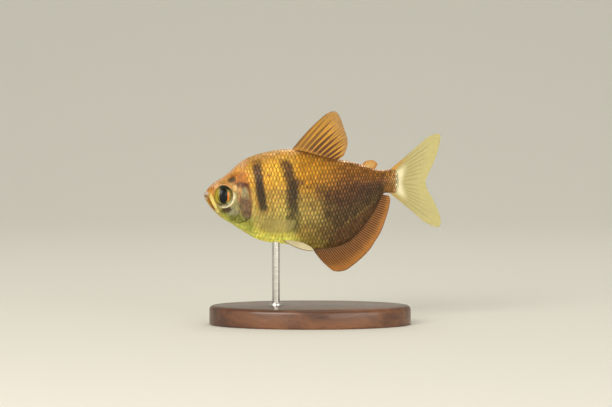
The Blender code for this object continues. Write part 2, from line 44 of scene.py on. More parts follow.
body = {
    "bend": (12.0, 0.35, 20.0, 1.9, 49.3),  # head bends before, by; tail bends after, by; fish's length
    # back x, back z, belly x, belly z, half width, height of the widest line, roundness above and below
    "ribs": (
        (0.00, 0.00, 0.00, 0.00, 0.00, 0.50, 0.80, 0.80),
        (0.40, 0.65, 0.12, -0.85, 0.88, 0.50, 0.80, 0.80),
        (1.15, 1.58, 0.80, -2.10, 1.48, 0.50, 0.80, 0.85),
        (2.25, 2.50, 1.90, -3.45, 2.02, 0.49, 0.80, 0.90),
        (3.70, 3.38, 3.50, -4.95, 2.45, 0.48, 0.80, 0.95),
        (5.40, 4.75, 5.60, -6.25, 2.78, 0.47, 0.85, 0.95),
        (7.45, 6.55, 8.05, -7.80, 3.05, 0.46, 0.92, 0.95),
        (9.95, 7.88, 10.75, -9.30, 3.20, 0.44, 1.00, 0.95),
        (13.25, 8.73, 13.70, -10.02, 3.22, 0.43, 1.05, 0.95),
        (16.60, 9.20, 17.00, -10.38, 3.12, 0.42, 1.08, 1.00),
        (19.90, 9.00, 19.90, -10.92, 2.92, 0.41, 1.08, 1.10),
        (23.25, 8.16, 23.20, -11.38, 2.65, 0.39, 1.05, 1.20),
        (26.55, 7.32, 26.60, -11.14, 2.34, 0.38, 1.00, 1.28),
        (29.50, 6.82, 29.70, -10.08, 2.04, 0.37, 1.00, 1.30),
        (32.00, 6.25, 32.30, -7.80, 1.77, 0.38, 1.00, 1.25),
        (34.05, 5.55, 34.20, -5.20, 1.52, 0.41, 1.00, 1.15),
        (35.70, 5.02, 35.75, -2.70, 1.32, 0.46, 1.00, 1.05),
        (37.15, 4.83, 37.15, -0.02, 1.14, 0.50, 0.95, 0.95),
        (38.55, 5.00, 38.55, 0.20, 0.92, 0.50, 0.90, 0.90),
        (39.85, 4.85, 39.85, 0.25, 0.62, 0.50, 0.85, 0.85),
    ),
    "tailEnd": (0.15, 0.50, 0.975),  # past the last rib: reach at the edges, more in the middle, thinning
}
lastRib = len(body["ribs"]) - 1


# shapes along smooth lines
def smoothStep(value, start, end):
    share = np.clip((value - start) / (end - start), 0, 1)
    return share * share * (3 - 2 * share)


def smoothAt(values, place):
    # Catmull-Rom through a list of numbers or rows, at places counted in steps
    values = np.asarray(values, float)
    place = np.asarray(place, float)
    last = len(values) - 1
    first = np.clip(place.astype(int), 0, last - 1)
    t = place - first
    if values.ndim > 1:
        t = t[..., None]
    b, c = values[first], values[first + 1]
    a = np.where((first > 0)[..., None] if values.ndim > 1 else first > 0,
                 values[np.maximum(first - 1, 0)], 2 * b - c)
    after = np.minimum(first + 2, last)
    d = np.where((first + 2 <= last)[..., None] if values.ndim > 1 else first + 2 <= last,
                 values[after], 2 * c - b)
    return 0.5 * (2 * b + (c - a) * t + (2 * a - 5 * b + 4 * c - d) * t**2 + (3 * b - a - 3 * c + d) * t**3)


def mirroredRibs():
    # one rib before the snout's tip, its own mirror image, makes the tip round
    ribs = [list(rib) for rib in body["ribs"]]
    second = ribs[1]
    before = [second[2], second[3], second[0], second[1], -second[4], *ribs[0][5:]]
    return np.array([before, *ribs])


ribTable = mirroredRibs()


def bodyPoints(place, turn):
    # points of the body's surface in fish millimetres; turn 0 is the back, pi the belly, down the left side
    place, turn = np.broadcast_arrays(np.asarray(place, float), np.asarray(turn, float))
    beyond = np.clip(place - lastRib, 0, 1)
    rib = smoothAt(ribTable, np.minimum(place, lastRib) + 1)
    down = np.minimum(turn, 2 * np.pi - turn)
    side = np.where(turn < np.pi, -1.0, 1.0)
    cosine = np.cos(down)
    widest = rib[..., 5]
    share = np.where(cosine > 0, widest * (1 - cosine), widest - (1 - widest) * cosine)
    power = np.where(cosine > 0, rib[..., 6], rib[..., 7])
    x = rib[..., 0] + (rib[..., 2] - rib[..., 0]) * share
    z = rib[..., 1] + (rib[..., 3] - rib[..., 1]) * share
    y = side * rib[..., 4] * np.maximum(np.sin(down), 0) ** power
    reach, bulge, thinning = body["tailEnd"]
    x = x + beyond * (reach + bulge * (1 - (2 * share - 1) ** 2))
    y = y * np.sqrt(1 - thinning * beyond**2)
    return np.stack([x, y, z], -1), share


def toWorld(points):
    # fish millimetres to the frame's metres, with the swimming bend
    points = np.asarray(points, float)
    headEnd, headTurn, tailStart, tailSwing, length = body["bend"]
    x = points[..., 0]
    before = np.maximum(headEnd - x, 0) / headEnd
    after = np.maximum(x - tailStart, 0) / (length - tailStart)
    bent = points.copy()
    bent[..., 1] += headTurn * before**2 + tailSwing * after**2
    return bent * mm + np.array(snout)


def lineThrough(points, steps=12):
    count = (len(points) - 1) * steps
    return smoothAt(points, np.arange(count + 1) / steps)


def alongLine(line, shares):
    # points at these shares of a line's length
    lengths = np.concatenate([[0], np.cumsum(np.linalg.norm(np.diff(line, axis=0), axis=1))])
    at = np.asarray(shares) * lengths[-1]
    return np.stack([np.interp(at, lengths, line[:, i]) for i in range(line.shape[1])], -1)


def distanceTo(line, x, z):
    # distance of each point from a line seen from the side, the share along it, and the side it is on
    points = np.stack([x, z], -1)
    best = np.full(x.shape, 1e9)
    share, side = np.zeros(x.shape), np.zeros(x.shape)
    for i, (a, b) in enumerate(zip(line[:-1], line[1:])):
        way = b - a
        t = np.clip(((points - a) @ way) / max(way @ way, 1e-12), 0, 1)
        off = points - (a + t[..., None] * way)
        distance = np.linalg.norm(off, axis=-1)
        nearer = distance < best
        best = np.where(nearer, distance, best)
        share = np.where(nearer, (i + t) / (len(line) - 1), share)
        side = np.where(nearer, np.sign(way[0] * off[..., 1] - way[1] * off[..., 0]), side)
    return best, share, side


def gridStep(vert, across, up):
    # the column and the row where this corner of a new grid is
    return round((vert.co.x + 1) / 2 * across), round((vert.co.y + 1) / 2 * up)


def corners(made):
    return [v for v in made["geom"] if isinstance(v, bmesh.types.BMVert)]


def toData(name, mesh):
    data = bpy.data.meshes.new(name)
    mesh.to_mesh(data)
    mesh.free()
    return data


def addObject(name, data):
    made = bpy.data.objects.new(name, data)
    bpy.context.scene.collection.objects.link(made)
    return made


def finishPiece(name, mesh, replaced=()):
    piece = addObject(name, toData(name, mesh))
    piece.data.shade_smooth()
    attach(piece, "root")
    if replaced:
        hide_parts(*replaced)
    return piece


# materials
def hue(red, green, blue):
    # a colour as a paint chart gives it, made linear
    shares = [c / 255 for c in (red, green, blue)]
    return tuple(((c + 0.055) / 1.055) ** 2.4 if c > 0.0404 else c / 12.92 for c in shares) + (1.0,)


class Wire:
    # what runs from one node to the next; sums of wires add Math nodes
    def __init__(self, paint, socket):
        self.paint, self.socket = paint, socket

    def math(self, operation, *others):
        return self.paint.node("ShaderNodeMath", {"operation": operation}, (self, *others))

    def reflected(self, operation, other):
        return self.paint.node("ShaderNodeMath", {"operation": operation}, (other, self))

    def __add__(self, other):
        return self.math("ADD", other)

    def __sub__(self, other):
        return self.math("SUBTRACT", other)

    def __rsub__(self, other):
        return self.reflected("SUBTRACT", other)

    def __mul__(self, other):
        return self.math("MULTIPLY", other)

    def __truediv__(self, other):
        return self.math("DIVIDE", other)

    def __pow__(self, other):
        return self.math("POWER", other)

    def __neg__(self):
        return self.math("MULTIPLY", -1)

    def __abs__(self):
        return self.math("ABSOLUTE")

    __radd__ = __add__
    __rmul__ = __mul__


class Paint:
    # a material, or the world, and the nodes that feed its shader
    def __init__(self, name, owner="materials", shader="Principled BSDF", **constants):
        self.material = getattr(bpy.data, owner).new(name)
        self.material.use_nodes = True
        self.tree = self.material.node_tree
        self.shader = self.tree.nodes[shader]
        for socket, value in constants.items():
            self.feed(socket, value)

    def node(self, kind, settings=None, values=(), out=0):
        made = self.tree.nodes.new(kind)
        for setting, value in (settings or {}).items():
            if setting == "stops":
                ramp = made.color_ramp
                while len(ramp.elements) < len(value):
                    ramp.elements.new(0.5)
                for stop, (at, colour) in zip(ramp.elements, value):
                    stop.position, stop.color = at, hue(*colour)
            else:
                setattr(made, setting, value)
        for key, value in values.items() if isinstance(values, dict) else enumerate(values):
            if isinstance(value, Wire):
                self.tree.links.new(value.socket, made.inputs[key])
            elif value is not None:
                made.inputs[key].default_value = value
        return Wire(self, made.outputs[out])

    def feed(self, socket, value):
        socket = self.shader.inputs[socket.replace("_", " ")]
        if isinstance(value, Wire):
            self.tree.links.new(value.socket, socket)
        else:
            socket.default_value = value

    def place(self):
        return self.node("ShaderNodeTexCoord", out="Object")

    def parts(self, vector):
        # the three numbers of a vector
        split = self.tree.nodes.new("ShaderNodeSeparateXYZ")
        self.tree.links.new(vector.socket, split.inputs[0])
        return [Wire(self, socket) for socket in split.outputs]

    def stored(self, name, out="Vector"):
        return self.node("ShaderNodeAttribute", {"attribute_name": name}, out=out)

    def rise(self, value, start, end):
        # 0 before start, 1 after end, smooth between; it falls where start is past end
        if start > end:
            return 1 - self.rise(value, end, start)
        return self.node("ShaderNodeMapRange", {"interpolation_type": "SMOOTHSTEP"},
                         {"Value": value, "From Min": start, "From Max": end})

    def between(self, value, start, full, fades, end):
        # 1 from full to fades, 0 before start and after end
        return self.rise(value, start, full) * self.rise(value, end, fades)

    def blend(self, share, first, second):
        # share of the second colour; a colour is a wire, or red, green and blue up to 255
        first, second = [hue(*c) if isinstance(c, tuple) else c for c in (first, second)]
        return self.node("ShaderNodeMix", {"data_type": "RGBA"}, {0: share, 6: first, 7: second}, out=2)

    def washed(self, colour, *washes):
        # the colour under washes, each a mask, its strength and its colour
        for mask, strength, tint in washes:
            colour = self.blend(mask * strength, colour, tint)
        return colour

    def shade(self, colour, tone):
        # the colour, that many times as bright
        return self.node("ShaderNodeVectorMath", {"operation": "SCALE"}, {0: colour, "Scale": tone})

    def speckle(self, vector, scale, detail=3.0, roughness=0.55, out="Fac"):
        values = {"Vector": vector, "Scale": scale, "Detail": detail, "Roughness": roughness}
        return self.node("ShaderNodeTexNoise", None, values, out=out)

    def ramp(self, value, *stops):
        return self.node("ShaderNodeValToRGB", {"stops": stops}, (value,))

    def bump(self, height, strength, distance):
        return self.node("ShaderNodeBump", None,
                         {"Height": height, "Strength": strength, "Distance": distance}, out="Normal")


print("shapes and paints ready")


# the skin, with the head's relief
skin = {
    "headRings": 176, "headRibs": 7.2, "bodyRings": 52, "tailRings": 14, "around": 360,
    "crowding": 1.15,  # rings stand closer at the snout
    "underScales": -0.07, "scalesFrom": (9.2, 10.2),  # mm, and where the scales begin
    "smoothTip": 0.25, "weld": 0.0004,
    "reliefTo": 11.5,  # the head's relief ends before this place
    "gape": ((-0.60, -0.02), (0.55, -0.55), (1.25, -1.50), (1.85, -2.55), (2.45, -3.25)),
    "gapeCut": (0.26, 0.085), "gapeFade": (0.80, 1.0),  # depth and width
    "lip": (0.12, 0.25, 0.13), "lipFade": (0.45, 0.85),  # height, distance and width
    "jaw": (0.22, 0.48), "jawTo": 3.6,
    "maxilla": ((1.05, 0.70), (1.50, -0.55), (2.05, -1.95), (2.80, -3.60)), "maxillaRaise": (0.055, 0.30),
    "maxillaTaper": (0.55, 0.7), "maxillaSoft": (-0.06, 0.14), "maxillaGroove": (0.03, 0.16, 0.08),
    "nostrils": ((1.45, 1.26, 0.13), (1.84, 1.48, 0.16)), "nostrilDepth": 0.30,
    "nostrilRim": (0.02, 1.35, 0.3),
    "eye": (4.12, -0.27, 1.84, 2.14), "orbitDepth": 1.15, "orbitEdge": (0.86, 1.03),
    # rings round the eye: height, and reach and width in eye radii
    "orbitRim": (0.045, 1.09, 0.055), "orbitGroove": (-0.05, 1.22, 0.04),
    "cheekBulge": (0.06, 1.40, 0.10), "cheekGroove": (-0.05, 1.60, 0.045),
    "bulgeTo": 0.8, "cheek": ((3.2, 4.2), (6.6, 7.4), (-0.6, 0.6)),  # its front, rear and top fade
    "plates": {  # gill plates: their edge, where it fades in and out, the raised side and its step
        # each plate's dark is the painted shade under its edge: strength, place and width
        "preopercle": {
            "edge": ((7.30, 1.00), (7.62, -0.70), (7.60, -2.30), (7.20, -4.00), (6.30, -5.10),
                     (5.10, -5.70)),
            "ends": (0.08, 0.90), "raised": (0.11, 0.5), "step": (0.08, 0.12), "dark": (0.55, 0.05, 0.10)},
        "opercle": {
            "edge": ((8.10, 2.10), (8.90, 1.98), (9.45, 1.10), (9.72, -0.20), (9.95, -1.90), (9.88, -3.45),
                     (9.40, -4.70), (8.40, -5.50), (7.00, -5.85), (5.40, -5.70)),
            "ends": (0.10, 0.93), "raised": (0.17, 1.1), "step": (0.15, 0.16), "dark": (0.90, 0.09, 0.12)},
    },
    "gillEdge": (-0.16, 0.22), "gillEdgeFrom": (-5.0, -3.6),
    "grooves": (  # depth, and the line
        (0.05, ((7.55, -3.90), (8.60, -4.15), (9.75, -3.50))),
        (0.07, ((3.60, -5.05), (5.20, -6.05), (6.80, -6.75), (8.30, -7.10))),
    ),
    "grooveWidth": 0.10,
}


def eyeReach(x, z):
    # 1 on the orbit's rim, less inside
    centreX, centreZ, radiusX, radiusZ = skin["eye"]
    return np.hypot((x - centreX) / radiusX, (z - centreZ) / radiusZ)


def hump(value, middle, width):
    # 1 at the middle, next to nothing two widths away
    return np.exp(-((value - middle) / width) ** 2)


def gillPlate(plate, x, z):
    # height and painted shade beside a gill plate's edge, the signed distance from it, and where the plate
    # shows
    distance, share, side = distanceTo(lineThrough(plate["edge"]), x, z)
    signed = distance * side
    fadeIn, fadeOut = plate["ends"]
    shows = smoothStep(share, 0.0, fadeIn) * (1 - smoothStep(share, fadeOut, 1.0))
    (tall, fall), (deep, wide) = plate["raised"], plate["step"]
    height = shows * np.where(signed < 0, tall * np.exp(signed / fall), -deep * hump(distance, 0, wide))
    dark, at, width = plate["dark"]
    return height, dark * shows * hump(signed, at, width), signed, shows


def mouthRelief(x, z):
    distance, share, side = distanceTo(lineThrough(skin["gape"]), x, z)
    depth, width = skin["gapeCut"]
    crease = hump(distance, 0, width) * (1 - smoothStep(share, *skin["gapeFade"]))
    lipHeight, lipAway, lipWidth = skin["lip"]
    lips = hump(distance, lipAway, lipWidth) * (1 - smoothStep(share, *skin["lipFade"]))
    raised = lipHeight * lips - depth * crease
    jaw = np.where(side < 0, 1 - smoothStep(distance, *skin["jaw"]), 0) * (x < skin["jawTo"])

    distance, share, _ = distanceTo(lineThrough(skin["maxilla"]), x, z)
    tall, half = skin["maxillaRaise"]
    narrow, wideFrom = skin["maxillaTaper"]
    half = half * (narrow + (1 - narrow) * smoothStep(share, 0.0, wideFrom))
    inner, outer = skin["maxillaSoft"]
    maxilla = (1 - smoothStep(distance, half + inner, half + outer)) * smoothStep(share, 0.0, 0.35)
    deep, away, width = skin["maxillaGroove"]
    groove = hump(distance, half + away, width)
    raised += tall * maxilla - deep * groove
    crease += 0.35 * groove * smoothStep(share, 0.1, 0.5)
    return raised, crease, jaw, maxilla


def nostrilRelief(x, z):
    raised, crease = np.zeros(x.shape), np.zeros(x.shape)
    rimHeight, rimAway, rimWidth = skin["nostrilRim"]
    for nostrilX, nostrilZ, radius in skin["nostrils"]:
        away = np.hypot(x - nostrilX, z - nostrilZ) / radius
        raised += rimHeight * hump(away, rimAway, rimWidth) - skin["nostrilDepth"] * np.exp(-away**4)
        crease += np.exp(-(away / 0.8) ** 4)
    return raised, crease


def eyeRelief(x, z):
    reach = eyeReach(x, z)
    front, rear, top = skin["cheek"]
    onCheek = smoothStep(x, *front) * (1 - smoothStep(x, *rear)) * (1 - smoothStep(z, *top))
    raised = -skin["orbitDepth"] * (1 - smoothStep(reach, *skin["orbitEdge"]))
    for ring, shows in (("orbitRim", 1), ("orbitGroove", 1), ("cheekBulge", z < skin["bulgeTo"]),
                        ("cheekGroove", onCheek)):
        tall, at, width = skin[ring]
        raised += tall * hump(reach, at, width) * shows
    return raised, 0.35 * hump(reach, *skin["cheekGroove"][1:]) * onCheek


def grooveRelief(x, z):
    raised, crease = np.zeros(x.shape), np.zeros(x.shape)
    for depth, line in skin["grooves"]:
        distance, share, _ = distanceTo(lineThrough(line), x, z)
        groove = hump(distance, 0, skin["grooveWidth"]) * np.sin(np.pi * share)
        raised -= depth * groove
        crease += 0.4 * groove
    return raised, crease


def headRelief(x, z):
    # how far the skin stands out in mm, and the marks that the paint reads: painted shade in creases, pits
    # and grooves, jaw, maxilla, gill edge
    near = x < skin["reliefTo"]
    hx, hz = x[near], z[near]
    raised, crease, jaw, maxilla = mouthRelief(hx, hz)
    for relief in (nostrilRelief, eyeRelief, grooveRelief):
        tall, dark = relief(hx, hz)
        raised += tall
        crease += dark
    for plate in skin["plates"].values():
        tall, dark, signed, shows = gillPlate(plate, hx, hz)
        raised += tall
        crease += dark
    gillEdge = shows * hump(signed, *skin["gillEdge"]) * smoothStep(hz, *skin["gillEdgeFrom"])

    height = np.zeros(x.shape)
    height[near] = raised
    marks = np.zeros(x.shape + (4,))
    for i, mark in enumerate((np.clip(crease, 0, 1), jaw, maxilla, gillEdge)):
        marks[near, i] = mark
    return height, marks


def makeSkin():
    rings, around = skin["headRings"] + skin["bodyRings"] + skin["tailRings"], skin["around"]
    places = np.concatenate([
        np.linspace(0, 1, skin["headRings"], endpoint=False) ** skin["crowding"] * skin["headRibs"],
        np.linspace(skin["headRibs"], lastRib, skin["bodyRings"], endpoint=False),
        lastRib + np.linspace(0, 1, skin["tailRings"] + 1),
    ])
    turns = np.linspace(0, 2 * np.pi, around + 1)
    points, share = bodyPoints(places[:, None], turns[None, :])
    normals = np.cross(np.gradient(points, axis=1), np.gradient(points, axis=0))
    normals = normals / np.maximum(np.linalg.norm(normals, axis=-1, keepdims=True), 1e-9)
    fromMiddle = points - points.mean(axis=1, keepdims=True)
    outward = np.sign(np.sum(normals * fromMiddle, axis=-1, keepdims=True))
    normals *= np.where(outward == 0, 1, outward)
    height, marks = headRelief(points[..., 0], points[..., 2])
    height = height + skin["underScales"] * smoothStep(points[..., 0], *skin["scalesFrom"])
    height *= smoothStep(places, 0.0, skin["smoothTip"])[:, None]
    world = toWorld(points + normals * height[..., None])

    mesh = bmesh.new()
    spot = mesh.verts.layers.float_vector.new("spot")
    face = mesh.verts.layers.float_vector.new("face")
    gillEdge = mesh.verts.layers.float.new("gillEdge")
    bmesh.ops.create_grid(mesh, x_segments=rings, y_segments=around, size=1)
    unwrap = mesh.loops.layers.uv.new("OFBake")
    for polygon in mesh.faces:
        for loop in polygon.loops:
            loop[unwrap].uv = ((loop.vert.co.x + 1) / 2, (loop.vert.co.y + 1) / 2)
    for vert in mesh.verts:
        ring, step = gridStep(vert, rings, around)
        vert.co = world[ring, step]
        vert[spot] = (points[ring, step, 0], points[ring, step, 2], share[ring, step])
        vert[face] = marks[ring, step, :3]
        vert[gillEdge] = marks[ring, step, 3]
    bmesh.ops.remove_doubles(mesh, verts=mesh.verts, dist=skin["weld"] * mm)
    rim = [edge for edge in mesh.edges if edge.is_boundary]
    if rim:
        bmesh.ops.holes_fill(mesh, edges=rim, sides=0)
    bmesh.ops.recalc_face_normals(mesh, faces=mesh.faces)
    flesh = ("head", "lower_jaw", "gill_cover_left", "gill_cover_right", "trunk", "hind_body", "tail_stalk")
    return finishPiece("fish_skin", mesh, flesh)


fishSkin = makeSkin()
print("skin", len(fishSkin.data.polygons))


# the scales, laid in rows beside the lateral line
coat = {
    "lateralLine": ((7.0, 1.7), (9.3, 1.25), (14.0, 0.60), (20.0, 0.62), (28.0, 1.40), (34.0, 2.10),
                    (39.85, 2.52), (40.9, 2.55)),
    "headEdge": ((-9.0, -6.2, -4.6, -1.9, 1.3, 2.2, 4.5, 7.5),  # heights, and where the scales begin
                 (8.9, 9.2, 9.75, 10.15, 9.75, 8.9, 7.6, 6.6)),
    "step": 0.70, "row": 0.92, "rowsUp": 12, "rowsDown": 16, "first": 6.2, "last": 39.75,
    "fromMidline": 0.12,  # mm that a row keeps from the back's and the belly's midline
    "smallerFrom": 23.0, "smallerTo": 39.5, "smallest": 0.60,
    "ahead": 0.35, "behind": 1.00, "half": 0.78,  # mm from the root to a scale's ends and sides
    "lift": (-0.050, 0.045), "dome": 0.014, "thick": 0.028,
    "under": 0.6, "tuck": 0.13, "tuckTo": (-0.25, 0.75),  # how far ahead of the head's edge, and how deep
    "calm": 0.72, "calmBehindGill": (9.5, 16.0), "calmShare": (0.70, 0.86), "calmBelly": (17.0, 21.0),
    "ridge": ((6.9, 18.6), (28.2, 39.3)), "keel": ((9.6, 22.6),),  # where rows lie on the midline
    "ridgeLift": 0.03, "ridgeSize": 0.92,
    "rounding": (0.46, 0.8), "corners": (0.34, 1.7),  # how the sides and the corners are drawn in
    "middle": 0.45, "evened": 0.1,  # a scale's middle, and how much the paint's place moves towards it
    "across": 6, "lengthwise": 6, "jitter": 0.05, "seed": 7,
    "tableFrom": 5.2, "tablePlaces": 420, "tableTurns": 160, "arcs": (-14, 16, 0.12),
    # on the bake's sheet
    "patch": 0.003, "underShift": 1.6, "rimSpread": 1.3,
    "sheetFrom": (5, -13), "sheetSize": (37, 28), "margin": 0.02,
}


class FlankMap:
    # the skin's surface by distance along the lateral line and down from it
    def __init__(self):
        places = np.linspace(coat["tableFrom"], lastRib + 1, coat["tablePlaces"])
        turns = np.linspace(-1.0, np.pi + 1.0, coat["tableTurns"])
        self.arcs = np.arange(*coat["arcs"])
        line = lineThrough(coat["lateralLine"], 30)
        points, share = bodyPoints(places[:, None], np.mod(turns, 2 * np.pi)[None, :])
        self.along, rows, limits, shares = [], [], [], []
        for i in range(len(places)):
            half = points[i]
            steps = np.concatenate([[0], np.cumsum(np.linalg.norm(np.diff(half, axis=0), axis=1))])
            backArc, bellyArc = np.interp(0, turns, steps), np.interp(np.pi, turns, steps)
            inner = (turns > 0.02) & (turns < np.pi - 0.02)
            lineZ = np.interp(half[inner, 0], line[:, 0], line[:, 1])
            over = half[inner, 2] - lineZ
            zero = np.interp(0, -over, steps[inner])
            arcs = zero + self.arcs
            rows.append(np.stack([np.interp(arcs, steps, half[:, k]) for k in range(3)], -1))
            shares.append(np.interp(arcs, steps, share[i]))
            limits.append((backArc - zero, bellyArc - zero))
            self.along.append(np.interp(zero, steps, half[:, 0]))
        self.along, self.points, self.limits = np.array(self.along), np.array(rows), np.array(limits)
        self.shares = np.array(shares)
        normals = np.cross(np.gradient(self.points, axis=0), np.gradient(self.points, axis=1))
        self.normals = normals / np.maximum(np.linalg.norm(normals, axis=-1, keepdims=True), 1e-9)
        middle = self.normals[len(places) // 2, len(self.arcs) // 2, 1]
        if middle > 0:
            self.normals = -self.normals

    def read(self, table, along, arc):
        i = np.clip(np.interp(along, self.along, np.arange(len(self.along))), 0, len(self.along) - 1.001)
        j = np.clip((arc - self.arcs[0]) / coat["arcs"][2], 0, len(self.arcs) - 1.001)
        a, b = i.astype(int), j.astype(int)
        u, v = i - a, j - b
        if table.ndim > 2:
            u, v = u[..., None], v[..., None]
        top = table[a, b] * (1 - v) + table[a, b + 1] * v
        low = table[a + 1, b] * (1 - v) + table[a + 1, b + 1] * v
        return top * (1 - u) + low * u


flank = FlankMap()


def scaleSize(along):
    return 1 - (1 - coat["smallest"]) * smoothStep(along, coat["smallerFrom"], coat["smallerTo"])


def scaleRelief(x, share):
    # how much scales stand out: less behind the gill and on the belly
    behindGill = 1 - smoothStep(x, *coat["calmBehindGill"])
    onBelly = smoothStep(share, *coat["calmShare"]) * (1 - smoothStep(x, *coat["calmBelly"]))
    return 1 - coat["calm"] * np.maximum(behindGill, onBelly)


def behindHead(points):
    # mm behind the line where the head ends and the scales begin
    return points[..., 0] - np.interp(points[..., 2], *coat["headEdge"])


def scaleRoots():
    roots = []
    for row in range(-coat["rowsUp"], coat["rowsDown"] + 1):
        along = coat["first"] + (0.5 * coat["step"] if row % 2 else 0)
        while along < coat["last"]:
            size = float(scaleSize(along))
            arc = row * coat["row"] * size
            low, high = [np.interp(along, flank.along, flank.limits[:, k]) for k in (0, 1)]
            if low + coat["fromMidline"] < arc < high - coat["fromMidline"]:
                point = flank.read(flank.points, np.array(along), np.array(arc))
                if behindHead(point) > -coat["under"]:
                    roots.append((along, arc, size, 0.0))
            along += coat["step"] * size
    return roots


def ridgeRoots():
    # one row on the back and one on the belly, where no fin grows
    roots = []
    for column, stretches in enumerate((coat["ridge"], coat["keel"])):
        for start, end in stretches:
            along = start
            while along < end:
                size = float(scaleSize(along)) * coat["ridgeSize"]
                midline = float(np.interp(along, flank.along, flank.limits[:, column]))
                roots.append((along, midline, size, coat["ridgeLift"]))
                along += coat["step"] * size
    return roots


def scaleTemplate():
    # one scale, flat: x from its root to its free edge, y across, both -1 to 1; z tells its two faces
    mesh = bmesh.new()
    bmesh.ops.create_grid(mesh, x_segments=coat["lengthwise"] - 1, y_segments=coat["across"] - 1, size=1)
    top = corners(bmesh.ops.extrude_face_region(mesh, geom=list(mesh.faces)))
    bmesh.ops.translate(mesh, verts=top, vec=(0, 0, 1))
    bmesh.ops.recalc_face_normals(mesh, faces=mesh.faces)
    return toData("scale", mesh)


def unwrapScales(mesh, centres, u, v, top):
    # each scale has its own patch; the underside's lies beside it, and the rim round the upper one
    unwrap = mesh.loops.layers.uv.new("OFBake")
    count, half = len(top), coat["patch"] / 2
    for face in mesh.faces:
        centre = centres[face.verts[0].index // count]
        sides = {round(top[vert.index % count]) for vert in face.verts}
        shift = coat["patch"] * coat["underShift"] if sides == {0} else 0.0
        for loop in face.loops:
            k = loop.vert.index % count
            spread = half * (coat["rimSpread"] if len(sides) > 1 and top[k] < 0.5 else 1.0)
            loop[unwrap].uv = (centre[0] + u[k] * spread + shift, centre[1] + v[k] * spread)


def scaleOutline(template):
    # towards the free edge and across, in mm, with a rounded free edge and a blunt root
    flatCo = np.empty(len(template.vertices) * 3)
    template.vertices.foreach_get("co", flatCo)
    u, v, top = flatCo.reshape(-1, 3).T
    (narrowing, rootShare), (shortening, power) = coat["rounding"], coat["corners"]
    reach = np.where(u > 0, u * coat["behind"], u * coat["ahead"]) * (1 - shortening * np.abs(v) ** power)
    across = v * coat["half"] * np.sqrt(1 - narrowing * (np.where(u > 0, u, u * rootShare) ** 2))
    return u, v, top, reach, across


def scaleHeight(points, u, v, top, size, raised, relief):
    # how far each point of a scale is from the skin
    low, high = coat["lift"]
    rise = (u + 1) / 2
    dome = coat["dome"] * (1 - v**2) * (1 - u**2)
    height = raised + low * (1 - rise) + (high * rise * (0.6 + 0.4 * size) + dome) * relief
    height += np.where(top > 0.5, coat["thick"] * (0.4 + 0.6 * relief), 0)
    return height - coat["tuck"] * (1 - smoothStep(behindHead(points), *coat["tuckTo"]))


def makeScales(side):
    draw = random.Random(coat["seed"] + side)
    roots, template = scaleRoots() + (ridgeRoots() if side < 0 else []), scaleTemplate()
    u, v, top, reach, across = scaleOutline(template)
    mesh = bmesh.new()
    for _ in roots:
        mesh.from_mesh(template)
    bpy.data.meshes.remove(template)
    mesh.verts.ensure_lookup_table()
    spot = mesh.verts.layers.float_vector.new("spot")
    extra = mesh.verts.layers.float_vector.new("scale")  # towards the free edge, to a side, chance
    centres = []
    for number, (along, arc, size, raised) in enumerate(roots):
        turn = draw.uniform(-1, 1) * coat["jitter"]
        fit = size * (1 + draw.uniform(-1, 1) * coat["jitter"])
        chance = draw.random()
        a = along + (reach * math.cos(turn) - across * math.sin(turn)) * fit
        b = arc + (across * math.cos(turn) + reach * math.sin(turn)) * fit
        points, normals = flank.read(flank.points, a, b), flank.read(flank.normals, a, b)
        middle = np.array(along + coat["middle"] * size), np.array(arc)
        marked, share = flank.read(flank.points, *middle), flank.read(flank.shares, *middle)
        height = scaleHeight(points, u, v, top, size, raised, scaleRelief(marked[0], share))
        placed = points + normals * height[:, None]
        if side > 0:
            placed[:, 1] *= -1
        world = toWorld(placed)
        marks = (1 - coat["evened"]) * points + coat["evened"] * marked
        for k in range(len(top)):
            vert = mesh.verts[number * len(top) + k]
            vert.co = world[k]
            vert[spot] = (marks[k, 0], marks[k, 2], share)
            vert[extra] = (u[k] * 0.5 + 0.5, v[k] * 0.5 + 0.5, chance)
        centres.append([coat["margin"] + (1 - 2 * coat["margin"]) * (at - start) / whole
                        for at, start, whole in zip((along, arc), coat["sheetFrom"], coat["sheetSize"])])
    unwrapScales(mesh, centres, u, v, top)
    bmesh.ops.recalc_face_normals(mesh, faces=mesh.faces)
    name = "scales_left" if side < 0 else "scales_right"
    piece = finishPiece(name, mesh)
    print(name, len(roots), "scales")
    return piece


scalesLeft, scalesRight = makeScales(-1), makeScales(1)


